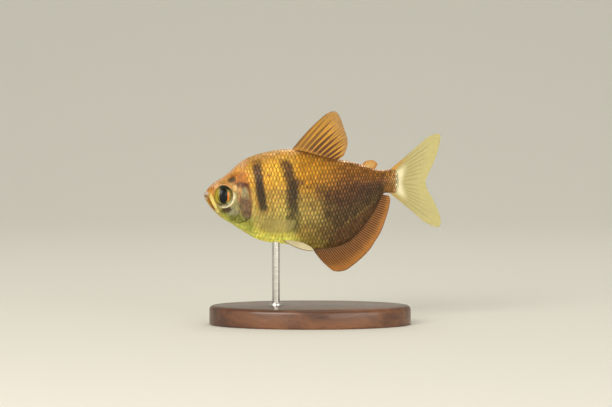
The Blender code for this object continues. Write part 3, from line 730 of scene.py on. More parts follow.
# the fins, as thin sheets whose rays stand out on both faces
fins = {
    "dorsal_fin": {
        "parts": ({"root": ("back", 9.41, 12.30), "rays": 11, "edge": (
            (25.30, 16.60), (26.30, 17.10), (27.25, 17.15), (27.90, 16.60), (28.50, 15.30),
            (29.20, 13.30), (29.70, 11.70), (29.80, 10.40), (29.50, 9.05), (28.95, 7.90))},),
        "bows": ((-0.50, 0.48), (0.00, -0.05)), "rows": 72, "ripple": 0.12, "sway": -0.35, "unbranched": 2,
        "ray": 0.7, "splits": ((0.08, 0.24), (0.50, 0.11)),
    },
    "anal_fin": {
        "parts": ({"root": ("belly", 10.71, 16.86), "rays": 46, "edge": (
            (26.32, -15.70), (26.70, -16.02), (27.30, -16.20), (28.20, -16.22), (29.50, -15.92),
            (30.80, -15.05), (32.05, -14.05), (33.45, -12.75), (34.55, -11.50), (35.55, -9.95),
            (36.40, -8.60), (37.05, -7.30), (37.65, -5.65), (38.15, -4.10), (38.52, -2.60),
            (38.68, -1.25), (38.45, -0.45))},),
        "bows": ((-0.45, -0.50), (0.00, 0.05)), "rows": 44, "ripple": 0.22, "sway": 0.30, "unbranched": 4,
        "ray": 0.6, "columns": 9, "splits": ((0.60, 0.22), (2.0, 0.0)),
    },
    "tail_fin": {
        "parts": (
            {"root": ((38.60, 5.05), (39.35, 4.80), (39.45, 4.05), (39.50, 2.40)), "rays": 10, "edge": (
                (46.00, 11.40), (47.10, 12.05), (48.30, 12.42), (49.05, 12.30), (49.22, 11.70),
                (49.05, 10.80), (48.55, 8.75), (47.75, 6.45), (46.85, 4.55), (46.00, 2.62))},
            {"root": ((39.50, 2.28), (39.45, 1.00), (39.35, 0.28), (38.60, 0.10)), "rays": 10, "edge": (
                (46.05, 2.30), (46.45, 0.80), (47.25, -0.55), (48.10, -2.25), (48.80, -3.85),
                (49.28, -5.60), (49.22, -6.50), (48.95, -6.92), (48.30, -7.00), (47.30, -6.68),
                (46.30, -6.14), (45.60, -5.76))},
        ),
        "bows": ((0.10, -0.10), (0.10, 0.10)), "rows": 72, "ripple": 0.10, "sway": 0.0, "unbranched": 1,
        "ray": 0.40, "splits": ((0.10, 0.25), (0.42, 0.125)),
    },
    "adipose_fin": {
        "parts": ({"root": ("back", 14.35, 15.60), "rays": 5, "edge": (
            (33.45, 6.78), (34.40, 7.02), (35.35, 6.92), (36.05, 6.20))},),
        "bows": ((-0.10, 0.12), (0.25, -0.20)), "rows": 20, "ripple": 0.0, "sway": 0.0, "unbranched": 9,
        "sheet": 0.10, "ray": 0.0,
    },
    "pectoral_fin": {
        "parts": ({"root": ((9.55, -2.05, -4.95), (9.70, -1.95, -5.70), (10.05, -1.75, -6.55)), "rays": 11,
                   "edge": ((19.00, -4.35, -5.20), (19.10, -4.30, -5.90), (18.55, -4.15, -6.75),
                            (17.30, -3.90, -7.60), (15.10, -3.45, -8.15))},),
        "bows": ((0.00, 0.00, 0.35), (0.00, 0.00, -0.20)), "rows": 48, "ripple": 0.10, "sway": 0.0,
        "unbranched": 1, "ray": 0.5,
    },
    "pelvic_fin": {
        "parts": ({"root": ((16.40, -1.10, -9.55), (17.10, -1.08, -9.55), (17.85, -1.05, -9.60)), "rays": 8,
                   "edge": ((22.45, -2.60, -11.72), (22.75, -2.52, -11.55), (22.45, -2.38, -11.12),
                            (21.65, -2.20, -10.58), (20.65, -2.05, -10.08))},),
        "bows": ((-0.10, -0.10, -1.10), (0.05, -0.20, 0.10)), "rows": 40, "ripple": 0.0, "sway": 0.0,
        "unbranched": 1,
    },
}
finBuild = {
    "columns": 12, "sheet": 0.032, "thinning": 0.35, "ray": (0.085, 0.022), "rayHalf": (0.20, 0.10),
    "splits": ((0.42, 0.24), (0.72, 0.12)), "segment": 0.36, "waves": 1.5,
    "sunk": 0.35, "rootSteps": 60,
    "fleshy": (0.12, 0.82, 0.75, 0.02),  # start and span of the swell, thinning outwards, least half
}


def finPoints(points):
    return np.array([(p[0], 0.0, p[1]) if len(p) == 2 else p for p in points], float)


def finRoot(root):
    # a root on the back or the belly runs just under the skin
    if root[0] not in ("back", "belly"):
        return lineThrough(finPoints(root))
    turn = 0.0 if root[0] == "back" else np.pi
    places = np.linspace(root[1], root[2], finBuild["rootSteps"])
    points = bodyPoints(places, turn)[0]
    way = bodyPoints(places + 0.02, turn)[0] - bodyPoints(places - 0.02, turn)[0]
    way /= np.linalg.norm(way, axis=1, keepdims=True)
    out = np.stack([-way[:, 2], 0 * way[:, 0], way[:, 0]], -1) * (1 if root[0] == "back" else -1)
    return points - out * finBuild["sunk"]


def branchAway(share, out, splits):
    # distance to the nearest branch of a ray, in steps between rays; splits tell how far out and how wide
    (firstAt, firstBy), (secondAt, secondBy) = splits
    first = firstBy * smoothStep(out, firstAt, 1.0)
    second = secondBy * smoothStep(out, secondAt, 1.0)
    return np.abs(np.abs(np.abs(share) - first) - second)


def finColumns(fin):
    # root points, edge points and ray numbers, column by column
    columns, first = [], 0
    for part in fin["parts"]:
        count = (part["rays"] - 1) * fin.get("columns", finBuild["columns"]) + 1
        shares = np.linspace(0, 1, count)
        root = alongLine(finRoot(part["root"]), shares)
        edge = alongLine(lineThrough(finPoints(part["edge"])), shares)
        columns += zip(root, edge, first + shares * (part["rays"] - 1))
        first += part["rays"]
    return [np.array(values) for values in zip(*columns)]


def finHalf(fin, rays, place, out):
    # half the fin's thickness in mm, with its rays
    share = rays - np.round(rays)
    whole = np.round(rays) < fin["unbranched"]
    away = np.where(whole[None, :], np.abs(share)[None, :],
                    branchAway(share[None, :], out, fin.get("splits", finBuild["splits"])))
    (rayFoot, rayTip), (footHalf, tipHalf) = finBuild["ray"], finBuild["rayHalf"]
    ridge = np.exp(-((away / (footHalf + (tipHalf - footHalf) * out)) ** 2))
    tall = (rayFoot + (rayTip - rayFoot) * out) * fin.get("ray", 1.0)
    half = fin.get("sheet", finBuild["sheet"]) * (1 - finBuild["thinning"] * out) + tall * ridge
    if "sheet" not in fin:
        return half
    # a fleshy fin, thick in its middle and thin all round
    start, span, thinning, least = finBuild["fleshy"]
    swell = np.sqrt(np.clip(np.sin(np.pi * (start + span * place))[None, :], 0, 1))
    return half * swell * (1 - thinning * out**2) + least


def makeFin(name, nodes, side=-1):
    fin = fins[name.replace("_left", "").replace("_right", "")]
    starts, ends, rays = finColumns(fin)
    rows, wide = fin["rows"], len(rays)
    place = rays / rays[-1]
    out = np.linspace(0, 1, rows + 1)[:, None]
    firstBow, lastBow = finPoints(fin["bows"])
    middle = (starts + ends) / 2 + firstBow * (1 - place[:, None]) + lastBow * place[:, None]
    o = out[..., None]
    points = starts * (1 - o) ** 2 + middle * 2 * o * (1 - o) + ends * o**2
    wave = fin["ripple"] * np.sin(place * 2 * np.pi * finBuild["waves"]) + fin["sway"]
    points[..., 1] += wave[None, :] * out**2
    normals = np.cross(np.gradient(points, axis=1), np.gradient(points, axis=0))
    normals /= np.maximum(np.linalg.norm(normals, axis=-1, keepdims=True), 1e-9)
    if side > 0:
        points, normals = points * (1, -1, 1), normals * (1, -1, 1)
    raised = normals * finHalf(fin, rays, place, out)[..., None]

    mesh = bmesh.new()
    rayPlace = mesh.verts.layers.float_vector.new("ray")  # ray number, share of the way out, and mm
    bmesh.ops.create_grid(mesh, x_segments=wide - 1, y_segments=rows, size=1)
    length = np.linalg.norm(ends - starts, axis=1)
    low = {vert: gridStep(vert, wide - 1, rows) for vert in mesh.verts}
    for vert, (column, row) in low.items():
        vert[rayPlace] = (rays[column], out[row, 0], out[row, 0] * length[column])
    drawn = corners(bmesh.ops.extrude_face_region(mesh, geom=list(mesh.faces)))
    high = {vert: gridStep(vert, wide - 1, rows) for vert in drawn}
    for verts, face in ((high, toWorld(points + raised)), (low, toWorld(points - raised))):
        for vert, (column, row) in verts.items():
            vert.co = face[row, column]
    bmesh.ops.recalc_face_normals(mesh, faces=mesh.faces)
    return finishPiece(name + "_sheet", mesh, nodes)


finPieces = {name: makeFin(name, (name,)) for name in ("dorsal_fin", "adipose_fin", "anal_fin")}
finPieces["tail_fin"] = makeFin("tail_fin", ("tail_fin_upper", "tail_fin_lower"))
for sideName, side in (("left", -1), ("right", 1)):
    for name in (f"pectoral_fin_{sideName}", f"pelvic_fin_{sideName}"):
        finPieces[name] = makeFin(name, (name,), side)
print("fins", len(finPieces))


# the eyes
eye = {"centre": (4.20, 1.80, -0.27), "radii": (2.02, 1.12, 2.26), "yaw": math.radians(11),
       "segments": 72, "rings": 44, "gaze": (-0.15, 0.00),
       "lens": (0.40, 0.66), "lensRaise": 0.06, "lensEdge": (0.75, 1.1)}


def makeEye(side):
    (gazeX, gazeZ), (lensX, lensZ) = eye["gaze"], eye["lens"]
    mesh = bmesh.new()
    gaze = mesh.verts.layers.float_vector.new("gaze")
    bmesh.ops.create_uvsphere(mesh, u_segments=eye["segments"], v_segments=eye["rings"], radius=1)
    bmesh.ops.rotate(mesh, verts=mesh.verts, matrix=Matrix.Rotation(math.pi / 2, 3, "X"))
    for vert in mesh.verts:
        vert[gaze] = (vert.co.x, vert.co.z, side * vert.co.y)
        away = math.hypot((vert.co.x - gazeX) / lensX, (vert.co.z - gazeZ) / lensZ)
        if vert.co.y * side > 0:
            vert.co.y *= 1 + eye["lensRaise"] * (1 - float(smoothStep(away, *eye["lensEdge"])))
    bmesh.ops.scale(mesh, verts=mesh.verts, vec=eye["radii"])
    bmesh.ops.rotate(mesh, verts=mesh.verts, matrix=Matrix.Rotation(-side * eye["yaw"], 3, "Z"))
    centre = Vector(eye["centre"]) * Vector((1, side, 1))
    bmesh.ops.translate(mesh, verts=mesh.verts, vec=centre)
    for vert in mesh.verts:
        vert.co = toWorld(np.array(vert.co))
    bmesh.ops.recalc_face_normals(mesh, faces=mesh.faces)
    name = "left" if side < 0 else "right"
    return finishPiece(f"eyeball_{name}", mesh, (f"eye_{name}",))


eyes = [makeEye(-1), makeEye(1)]


# the stand
stand = {
    "length": 42.0, "width": 25.0, "height": 4.0, "sides": 160, "edge": 0.9, "foot": 0.35,
    "rodX": -7.1, "rodRadius": 0.8, "rodSides": 48, "rodTop": 17.6, "rodSunk": 1.0,
    "collarRadii": (1.45, 1.334), "collarHeight": 0.55, "collarSunk": 0.2, "collarEdge": 0.15,
    "sharpFrom": 40,  # degrees
}


def drawBar(mesh, sides, radius, height):
    # a round bar that stands on its own origin
    bmesh.ops.create_circle(mesh, cap_ends=True, segments=sides, radius=radius)
    top = corners(bmesh.ops.extrude_face_region(mesh, geom=list(mesh.faces)))
    bmesh.ops.translate(mesh, verts=top, vec=(0, 0, height))
    bmesh.ops.recalc_face_normals(mesh, faces=mesh.faces)


def finishStand(name, mesh, node):
    bmesh.ops.scale(mesh, verts=mesh.verts, vec=(mm, mm, mm))
    piece = finishPiece(name, mesh, (node,))
    piece.data.set_sharp_from_angle(angle=math.radians(stand["sharpFrom"]))
    return piece


def makeBase():
    mesh = bmesh.new()
    drawBar(mesh, stand["sides"], 0.5, stand["height"])
    bmesh.ops.scale(mesh, verts=mesh.verts, vec=(stand["length"], stand["width"], 1))
    for level, size in ((stand["height"], stand["edge"]), (0.0, stand["foot"])):
        rim = [e for e in mesh.edges if all(abs(v.co.z - level) < 1e-6 for v in e.verts)]
        bmesh.ops.bevel(mesh, geom=rim, offset=size, segments=5, profile=0.5, affect="EDGES", material=-1)
    return finishStand("base_board", mesh, "stand_base")


def makeCollar():
    mesh = bmesh.new()
    lower, upper = stand["collarRadii"]
    bmesh.ops.create_cone(mesh, cap_ends=True, segments=stand["rodSides"], radius1=lower, radius2=upper,
                          depth=stand["collarHeight"] + stand["collarSunk"])
    middle = stand["height"] + (stand["collarHeight"] - stand["collarSunk"]) / 2
    bmesh.ops.translate(mesh, verts=mesh.verts, vec=(0, 0, middle))
    rim = [e for e in mesh.edges if all(v.co.z > stand["height"] for v in e.verts)]
    bmesh.ops.bevel(mesh, geom=rim, offset=stand["collarEdge"], segments=3, profile=0.5, affect="EDGES",
                    material=-1)
    return toData("collar", mesh)


def makeRod():
    mesh = bmesh.new()
    low = stand["height"] - stand["rodSunk"]
    drawBar(mesh, stand["rodSides"], stand["rodRadius"], stand["rodTop"] - low)
    bmesh.ops.translate(mesh, verts=mesh.verts, vec=(0, 0, low))
    collar = makeCollar()
    mesh.from_mesh(collar)
    bpy.data.meshes.remove(collar)
    bmesh.ops.translate(mesh, verts=mesh.verts, vec=(stand["rodX"], 0, 0))
    return finishStand("rod_and_collar", mesh, "stand_rod")


baseBoard, rod = makeBase(), makeRod()
print("eyes and stand")


# how the fish is coloured
markings = {
    # colours from the back at 0 to the belly at 1: ahead of the dark rear, behind it and on the head
    "front": (
        (0.015, (220, 178, 122)), (0.055, (196, 148, 72)), (0.13, (202, 152, 48)), (0.33, (204, 154, 50)),
        (0.44, (164, 130, 62)), (0.60, (180, 154, 78)), (0.76, (168, 152, 86)), (0.88, (192, 178, 82)),
        # the belly's last stop is partly its pale colour and partly painted light bounced up from below
        (0.96, (242, 238, 112))),
    "rear": (
        # the first two stops, pale along the back's ridge, are partly the ridge's own colour and partly a
        # painted highlight
        (0.004, (232, 190, 158)), (0.012, (196, 146, 104)), (0.024, (122, 80, 34)), (0.14, (114, 72, 22)),
        (0.30, (88, 54, 22)), (0.45, (66, 43, 24)), (0.62, (68, 50, 29)), (0.82, (76, 57, 31)),
        (1.0, (78, 56, 32))),
    "head": (
        (0.0, (212, 166, 122)), (0.045, (204, 156, 104)), (0.10, (190, 136, 62)), (0.24, (180, 128, 58)),
        (0.36, (166, 132, 74)), (0.50, (150, 136, 88)), (0.66, (146, 136, 86)), (0.84, (132, 132, 50)),
        (1.0, (208, 206, 98))),
    # colours of the bars from the lower of these heights, over the second
    "bar": ((0.0, (104, 96, 52)), (0.16, (86, 76, 44)), (0.36, (54, 44, 32)), (0.62, (44, 34, 30)),
            (0.92, (92, 60, 34))),
    "barHeights": (-7, 15),
    # the bars: place at the middle height, lean, curve above it, half width, its soft edge and wandering
    "bars": ({"at": 11.88, "lean": -0.155, "curve": 0.0, "half": 0.92, "soft": 0.40, "waver": 0.7,
              "ends": (-4.9, -3.0, 5.9, 7.6), "strength": 0.95},
             {"at": 18.45, "lean": 0.0, "curve": -0.036, "half": 1.22, "soft": 0.70, "waver": 2.6,
              "ends": (-8.9, -6.8, 6.2, 7.9), "strength": 0.93}),
    # dabs on the head: x, z, wide, tall, softness, strength, colour
    "dabs": (
        (1.9, 1.9, 1.3, 0.8, 1.8, 0.7, (214, 168, 128)),
        (1.5, 0.4, 0.8, 1.1, 1.8, 0.8, (188, 122, 40)),
        (7.3, 4.9, 1.3, 0.8, 1.8, 0.6, (212, 152, 70)),
        (1.6, -1.5, 1.0, 1.7, 1.8, 0.7, (190, 146, 16)),
        (7.7, 3.1, 1.9, 1.35, 2.2, 0.95, (166, 94, 0)),
        (6.3, 3.7, 1.5, 0.6, 1.8, 0.6, (150, 92, 14)),
        (5.65, 2.85, 0.95, 0.60, 1.7, 0.95, (66, 50, 28)),  # the dark spot over the eye
        (6.1, 3.35, 0.60, 0.45, 1.7, 0.8, (74, 52, 24)),
        (7.75, 1.95, 1.25, 0.66, 1.8, 0.95, (78, 40, 10)),  # the brown band over the gill cover
        (9.15, 1.70, 0.50, 0.90, 1.8, 0.9, (92, 46, 10)),
        (8.9, 3.4, 0.9, 0.7, 1.8, 0.7, (196, 126, 20)),
        (7.5, 0.0, 0.40, 1.8, 1.8, 0.7, (190, 132, 84)),
        (6.5, 1.4, 0.42, 0.60, 1.8, 0.85, (228, 188, 118)),
        (8.55, 0.40, 0.62, 1.10, 1.8, 0.85, (142, 138, 104)),
        (8.80, -2.5, 1.35, 2.7, 1.8, 0.95, (102, 76, 58)),  # the gill cover's dark rear
        (5.9, -3.6, 1.30, 1.00, 1.8, 0.85, (138, 132, 108)),
        (4.55, -3.10, 0.95, 0.80, 1.8, 0.95, (58, 32, 10)),  # the dark cheek under the eye
        (6.6, -4.9, 1.6, 0.75, 1.8, 0.8, (98, 100, 40)),
    ),
    "lipDabs": (
        (0.35, 0.20, 0.55, 0.42, 1.8, 0.85, (206, 184, 182)),
        (0.45, -0.75, 0.50, 0.40, 1.8, 0.7, (196, 160, 120)),
    ),
}


class FishPaint(Paint):
    # the fish's coat, with the marks and the noises that its colours share
    def __init__(self):
        super().__init__("fish_coat", Coat_Weight=0.12, Coat_Roughness=0.20, Specular_IOR_Level=0.22)
        self.along, self.up, self.share = self.parts(self.stored("spot"))
        self.free, self.across, self.chance = self.parts(self.stored("scale"))
        self.crease, self.jaw, self.maxilla = self.parts(self.stored("face"))
        self.gillEdge = self.stored("gillEdge", "Fac")
        place = self.place()
        self.clouds = self.speckle(place, 420) - 0.5
        self.grain = self.speckle(place, 1500) - 0.5
        self.fine = self.speckle(place, 5200, 2.0) - 0.5
        self.blotches = self.speckle(place, 800, 3.0, 0.6) - 0.5
        upright = self.node("ShaderNodeMapping", None, {"Vector": place, "Scale": (1.0, 0.6, 0.28)})
        self.streaks = self.speckle(upright, 2600, 3.0, 0.6) - 0.5

        edge = 21.6 + self.rise(self.share, 0.44, 0.04) * 3.4 - self.rise(self.share, 0.55, 0.9) * 0.6
        self.darkening = self.rise(self.along + self.clouds * 6 + self.grain * 3 - edge, -3.6, 6.4)
        self.aboveFold = self.up + 6.2 - (self.along - 29.3) * 0.75  # the anal fin's muscles are below it
        self.finMuscle = self.between(self.along, 25.0, 29.0, 35.5, 37.5)
        self.finMuscle *= self.rise(-self.aboveFold, 0.10, 0.45)
        # a bright stroke on each scale: a painted highlight, which also raises the shine
        stroke = self.rise(abs(self.free - 0.72 + self.streaks * 0.3), 0.20, 0.02)
        self.stroke = stroke * self.rise(abs(self.across - 0.3 - self.chance * 0.4), 0.40, 0.08)

    def ground(self):
        # the ground colours, and the shoulder's darker streaks
        along, share, grain, streaks = self.along, self.share, self.grain, self.streaks
        gold = self.rise(along, 17.5, 20.5) * self.rise(share, 0.50, 0.30)
        olive = self.rise(along + self.clouds * 3, 17.6, 20.6) * self.rise(share, 0.62, 0.80)
        shoulder = self.rise(along + streaks * 4, 17.0, 11.0) * self.rise(share, 0.75, 0.55)
        return self.washed(
            self.ramp(share + self.clouds * 0.12, *markings["front"]),
            (gold, 0.85, (167, 113, 26)), (olive, 0.8, (140, 112, 50)),
            (self.darkening, 1.0, self.ramp(share + grain * 0.03, *markings["rear"])),
            (shoulder, 0.48, (166, 118, 42)),
            (self.rise(abs(streaks), 0.10, 0.24) * shoulder, 0.45, (96, 62, 26)))

    def barred(self, colour):
        raised = self.node("ShaderNodeMath", {"operation": "MAXIMUM"}, (self.up, 0.0))
        ragged = self.up + self.grain * 2 + self.blotches * 2
        lowest, height = markings["barHeights"]
        barColour = self.ramp((self.up - lowest) / height, *markings["bar"])
        for bar in markings["bars"]:
            middle = bar["at"] + self.up * bar["lean"] + raised * raised * bar["curve"]
            half = bar["half"] + self.blotches * bar["waver"]
            beyond = abs(self.along - middle + self.grain * 0.5) - half
            mask = self.rise(beyond, bar["soft"], -bar["soft"]) * self.between(ragged, *bar["ends"])
            colour = self.washed(colour, (mask, bar["strength"], barColour))
        return colour

    def smudged(self, colour):
        # smudges beside the second bar, the band to the tail, the anal fin's muscles with a painted
        # highlight along their fold, and the stalk's end
        along, up, grain, blotches = self.along, self.up, self.grain, self.blotches
        beside = self.rise(abs(up - 2.5) + blotches, 0.7, 0.2) * self.between(along, 18.6, 19.3, 20.3, 21.2)
        smudge = self.rise(abs(up - 1.2), 1.4, 0.5) * self.between(along, 19, 20, 24, 27)
        band = self.rise(abs(up - 1.4), 1.6, 0.2) * self.between(along, 27, 33, 37.5, 39)
        # a pale line along the fold: a painted highlight on the fold's ridge
        fold = self.rise(abs(self.aboveFold + grain), 0.30, 0.08)
        fold = fold * self.between(along, 28.6, 30.4, 33.0, 35.4)
        finFoot = self.rise(self.share, 0.040, 0.014) * self.between(along, 18.6, 20, 27, 29)
        return self.washed(
            colour, (beside, 0.7, (84, 58, 44)),
            (smudge * self.rise(blotches, -0.10, 0.16), 0.7, (96, 66, 40)),
            (band, 0.5, (54, 34, 20)), (self.finMuscle, 0.7, (84, 56, 30)), (fold, 0.25, (146, 116, 58)),
            (finFoot, 0.85, (98, 58, 16)), (self.rise(along, 36.5, 38.4), 0.6, (146, 98, 46)),
            (self.rise(along + grain * 3, 38.6, 39.8), 0.5, (170, 140, 88)),
            (self.rise(along + grain, 39.6, 40.3), 1.0, (228, 216, 172)))

    def scaleTone(self):
        # each scale: a bright stroke inside its free edge, a painted highlight; a painted shadow on its
        # root under the scale ahead; its free edge is dark
        rim = self.rise(self.free, 0.84, 1.0) * (0.42 + self.darkening * 0.10)
        # painted shadow on a scale's root, where the scale ahead overlaps it
        overlapShadow = self.between(self.free, 0.04, 0.10, 0.50, 0.74) * (0.24 + self.darkening * 0.12)
        highlightStrokes = self.stroke * (0.16 + self.chance * 0.46 + self.darkening * (0.15 + self.chance * 0.7))
        smooth = self.rise(self.share, 0.70, 0.86) * self.rise(self.along, 21, 17)
        smooth = 1 - (1 - smooth) * self.rise(self.along, 10.5, 15.5) * (1 - self.finMuscle * 0.6)
        uneven = (self.chance - 0.5) * (0.16 + self.darkening * 0.16)
        tone = 1.0 + (highlightStrokes - overlapShadow - rim) * (1 - smooth * 0.8) + uneven
        return tone + self.grain * 0.8 + self.fine * 0.26 + self.streaks * 0.85

    def dabbed(self, colour, dabs):
        for x, z, wide, tall, soft, strength, tint in dabs:
            away = ((self.along - x) / wide) ** 2 + ((self.up - z) / tall) ** 2
            mask = self.rise(away + self.grain * 1.3 + self.streaks * 0.9, soft, 0.0)
            colour = self.washed(colour, (mask, strength, tint))
        return colour

    def head(self):
        along, up = self.along, self.up
        eyeX, eyeZ, eyeWide, eyeTall = skin["eye"]
        reach = (((along - eyeX) / eyeWide) ** 2 + ((up - eyeZ) / eyeTall) ** 2) ** 0.5
        lowerRear = self.rise(along - up * 0.8, 4.9, 6.4) * self.rise(up, 0.9, -0.4)
        socket = abs(reach - 1.10 - self.rise(along, 5.2, 7.0) * 0.13)
        chin = self.rise(along + self.clouds * 2, 4.6, 1.6) * self.rise(self.share, 0.62, 0.80)
        colour = self.ramp(self.share + self.clouds * 0.06, *markings["head"])
        colour = self.dabbed(self.washed(colour, (chin, 0.75, (184, 148, 74))), markings["dabs"])
        colour = self.washed(
            # a pale crescent on the orbit's lower rear rim: partly the rim's own colour, partly a painted
            # highlight
            colour, (self.rise(socket, 0.16, 0.05) * lowerRear, 0.85, (232, 226, 188)),
            (self.rise(abs(reach - 1.03), 0.06, 0.01), 0.6, (60, 52, 26)),
            # a painted highlight on the top of the orbit's rim
            (self.rise(abs(reach - 1.06), 0.10, 0.02) * self.rise(up, 0.6, 1.8), 0.6, (228, 180, 126)),
            (self.jaw, 0.85, (152, 86, 4)), (self.maxilla, 0.8, (232, 214, 128)))
        return self.washed(
            self.dabbed(colour, markings["lipDabs"]), (self.gillEdge, 0.9, (104, 40, 44)),
            (self.rise(self.streaks, 0.06, 0.26), 0.30, (214, 166, 84)),
            (self.rise(self.streaks, -0.06, -0.26), 0.34, (84, 62, 28)))


def fishPaint():
    paint = FishPaint()
    along, grain, crease, stroke = paint.along, paint.grain, paint.crease, paint.stroke
    onHead = paint.rise(along + (paint.share - 0.5) * -1.8 + grain * 0.4, 10.4, 8.9)
    behindGill = paint.rise(abs(along - 10.25), 0.55, 0.15) * paint.between(paint.up, -5.2, -4.0, 0.6, 1.6)
    # the last wash is painted shade, dark in the mouth's gape, the nostrils' pits, the grooves and under
    # the gill plates' edges
    colour = paint.washed(
        paint.smudged(paint.barred(paint.ground())), (onHead, 1.0, paint.head()),
        (behindGill, 0.4, (200, 172, 96)), (crease, 0.72, (62, 42, 24)))
    hues = paint.speckle(paint.place(), 2100, 2.0, out="Color")
    hues = paint.node("ShaderNodeVectorMath", {"operation": "MULTIPLY_ADD"},
                      (hues, (0.7, 0.5, 0.9), (0.65, 0.75, 0.55)))
    colour = paint.shade(colour, paint.scaleTone())
    paint.feed("Base_Color", paint.node("ShaderNodeVectorMath", {"operation": "MULTIPLY"}, (colour, hues)))
    shine = 0.08 + stroke * 0.22 + (1 - paint.darkening) * 0.10
    paint.feed("Metallic", shine * (1 - crease * 0.8) * (1 - onHead * 0.6))
    paint.feed("Roughness", 0.44 + grain * 0.22 + crease * 0.25 - stroke * 0.10 + onHead * 0.08)
    paint.feed("Normal", paint.bump(paint.fine * 0.6 + grain * 0.6, 0.20, 0.00006))
    return paint.material


plainFin = {"gap": (84, 50, 20), "faded": (0.55, 0.92), "hatched": 0.25}
finLooks = {
    # colours of the sheet, the rays, the outer edge and the gaps; opacity of sheet, rays and edge;
    # the gaps' strength and where they fade outwards; strength of the fine hatching
    "dorsal_fin": {
        "sheet": (134, 84, 10), "ray": (200, 146, 42), "edge": (152, 112, 60), "gap": (80, 44, 18),
        "cover": (0.92, 0.98, 0.60), "gaps": 0.85, "faded": (0.48, 1.05), "hatched": 0.60},
    "anal_fin": {
        "sheet": (118, 68, 16), "ray": (174, 116, 46), "edge": (168, 108, 42), "gap": (64, 36, 12),
        "cover": (0.95, 0.98, 0.88), "gaps": 0.75, "faded": (0.40, 1.10), "hatched": 0.45},
    "tail_fin": {
        "sheet": (178, 164, 90), "ray": (200, 188, 122), "edge": (196, 184, 104), "gap": (150, 136, 72),
        "cover": (0.62, 0.75, 0.60), "gaps": 0.12, "faded": (0.20, 0.75), "hatched": 0.12},
    "pelvic_fin": {
        "sheet": (206, 194, 152), "ray": (232, 224, 196), "edge": (190, 174, 122),
        "cover": (0.88, 0.97, 0.80), "gaps": 0.15, **plainFin},
    "adipose_fin": {
        "sheet": (192, 150, 82), "ray": (196, 154, 86), "edge": (170, 112, 44),
        "cover": (0.95, 0.96, 0.90), "gaps": 0.0, **plainFin},
    "pectoral_fin": {
        "sheet": (176, 158, 82), "ray": (196, 180, 108), "edge": (172, 156, 84),
        "cover": (0.30, 0.48, 0.08), "gaps": 0.05, **plainFin},
}


def finPaint(kind):
    look = finLooks[kind]
    sheetCover, rayCover, edgeCover = look["cover"]
    paint = Paint(kind + "_membrane", Roughness=0.48, Coat_Weight=0.08, Coat_Roughness=0.3,
                  Specular_IOR_Level=0.30)
    rays, out, far = paint.parts(paint.stored("ray"))
    place = paint.place()
    clouds = paint.speckle(place, 500) - 0.5
    grain = paint.speckle(place, 2600, 2.0) - 0.5
    alongRays = paint.node("ShaderNodeCombineXYZ", None, (rays * 3.1, out * 2.2, 0.0))
    hatch = paint.speckle(alongRays, 1.0, 2.0) - 0.5
    share = abs(paint.node("ShaderNodeMath", {"operation": "FRACT"}, (rays + 0.5,)) - 0.5)
    (firstAt, firstBy), (secondAt, secondBy) = fins[kind].get("splits", finBuild["splits"])
    away = abs(share - paint.rise(out, firstAt, 1.0) * firstBy)
    away = abs(away - paint.rise(out, secondAt, 1.0) * secondBy)
    onRay = paint.rise(away, 0.16, 0.05)
    gap = paint.rise(away, 0.12, 0.24) * paint.rise(out, 0.03, 0.14)
    gap = gap * (1 - paint.rise(out + clouds * 0.5, *look["faded"])) * look["gaps"]
    half = finBuild["segment"] / 2
    joint = paint.node("ShaderNodeMath", {"operation": "PINGPONG"}, (far, half)) / half
    rayShare = onRay * (0.85 - paint.rise(joint, 0.25, 0.0) * 0.35) * (1 - paint.rise(out, 0.7, 1.0) * 0.5)
    colour = paint.blend(paint.rise(out + clouds * 0.4, 0.45, 1.0), look["sheet"], look["edge"])
    colour = paint.washed(colour, (gap, 1.0, look["gap"]), (rayShare, 1.0, look["ray"]))
    colour = paint.shade(colour, 1.0 + grain * 0.3 + hatch * look["hatched"] * 2)
    paint.feed("Base_Color", colour)
    inner = sheetCover + onRay * (rayCover - sheetCover) + gap * 0.15 + clouds * 0.12
    fade = paint.rise(out, 0.55, 1.0)
    frayed = paint.rise(out + hatch * 0.12, 0.975, 1.02) * 0.7
    paint.feed("Alpha", (inner * (1 - fade) + fade * (edgeCover + onRay * 0.15)) * (1 - frayed))
    paint.feed("Normal", paint.bump(onRay * (0.7 + joint * 0.3) + grain * 0.3, 0.5, 0.00004))
    return paint, colour, out, rays, clouds


def dorsalPaint():
    paint, colour, out, rays, clouds = finPaint("dorsal_fin")
    paint.feed("Base_Color", paint.washed(
        colour, (paint.rise(rays + clouds, 4.5, 1.0), 0.40, (176, 128, 42)),
        (paint.rise(rays + out * 0.2, 0.42, 0.12), 0.75, (86, 60, 54)),
        (paint.rise(out, 0.14, 0.02), 0.5, (196, 140, 56))))
    return paint.material


def analPaint():
    paint, colour, out, rays, _ = finPaint("anal_fin")
    paint.feed("Base_Color", paint.washed(
        # darker near the base: painted shade where the fin meets the body
        colour, (paint.rise(out, 0.26, 0.03), 0.6, (66, 46, 24)),
        (paint.rise(out, 0.93, 0.99), 0.6, (92, 54, 40)),
        (paint.rise(rays, 0.5, 0.15), 0.8, (70, 40, 20))))
    return paint.material


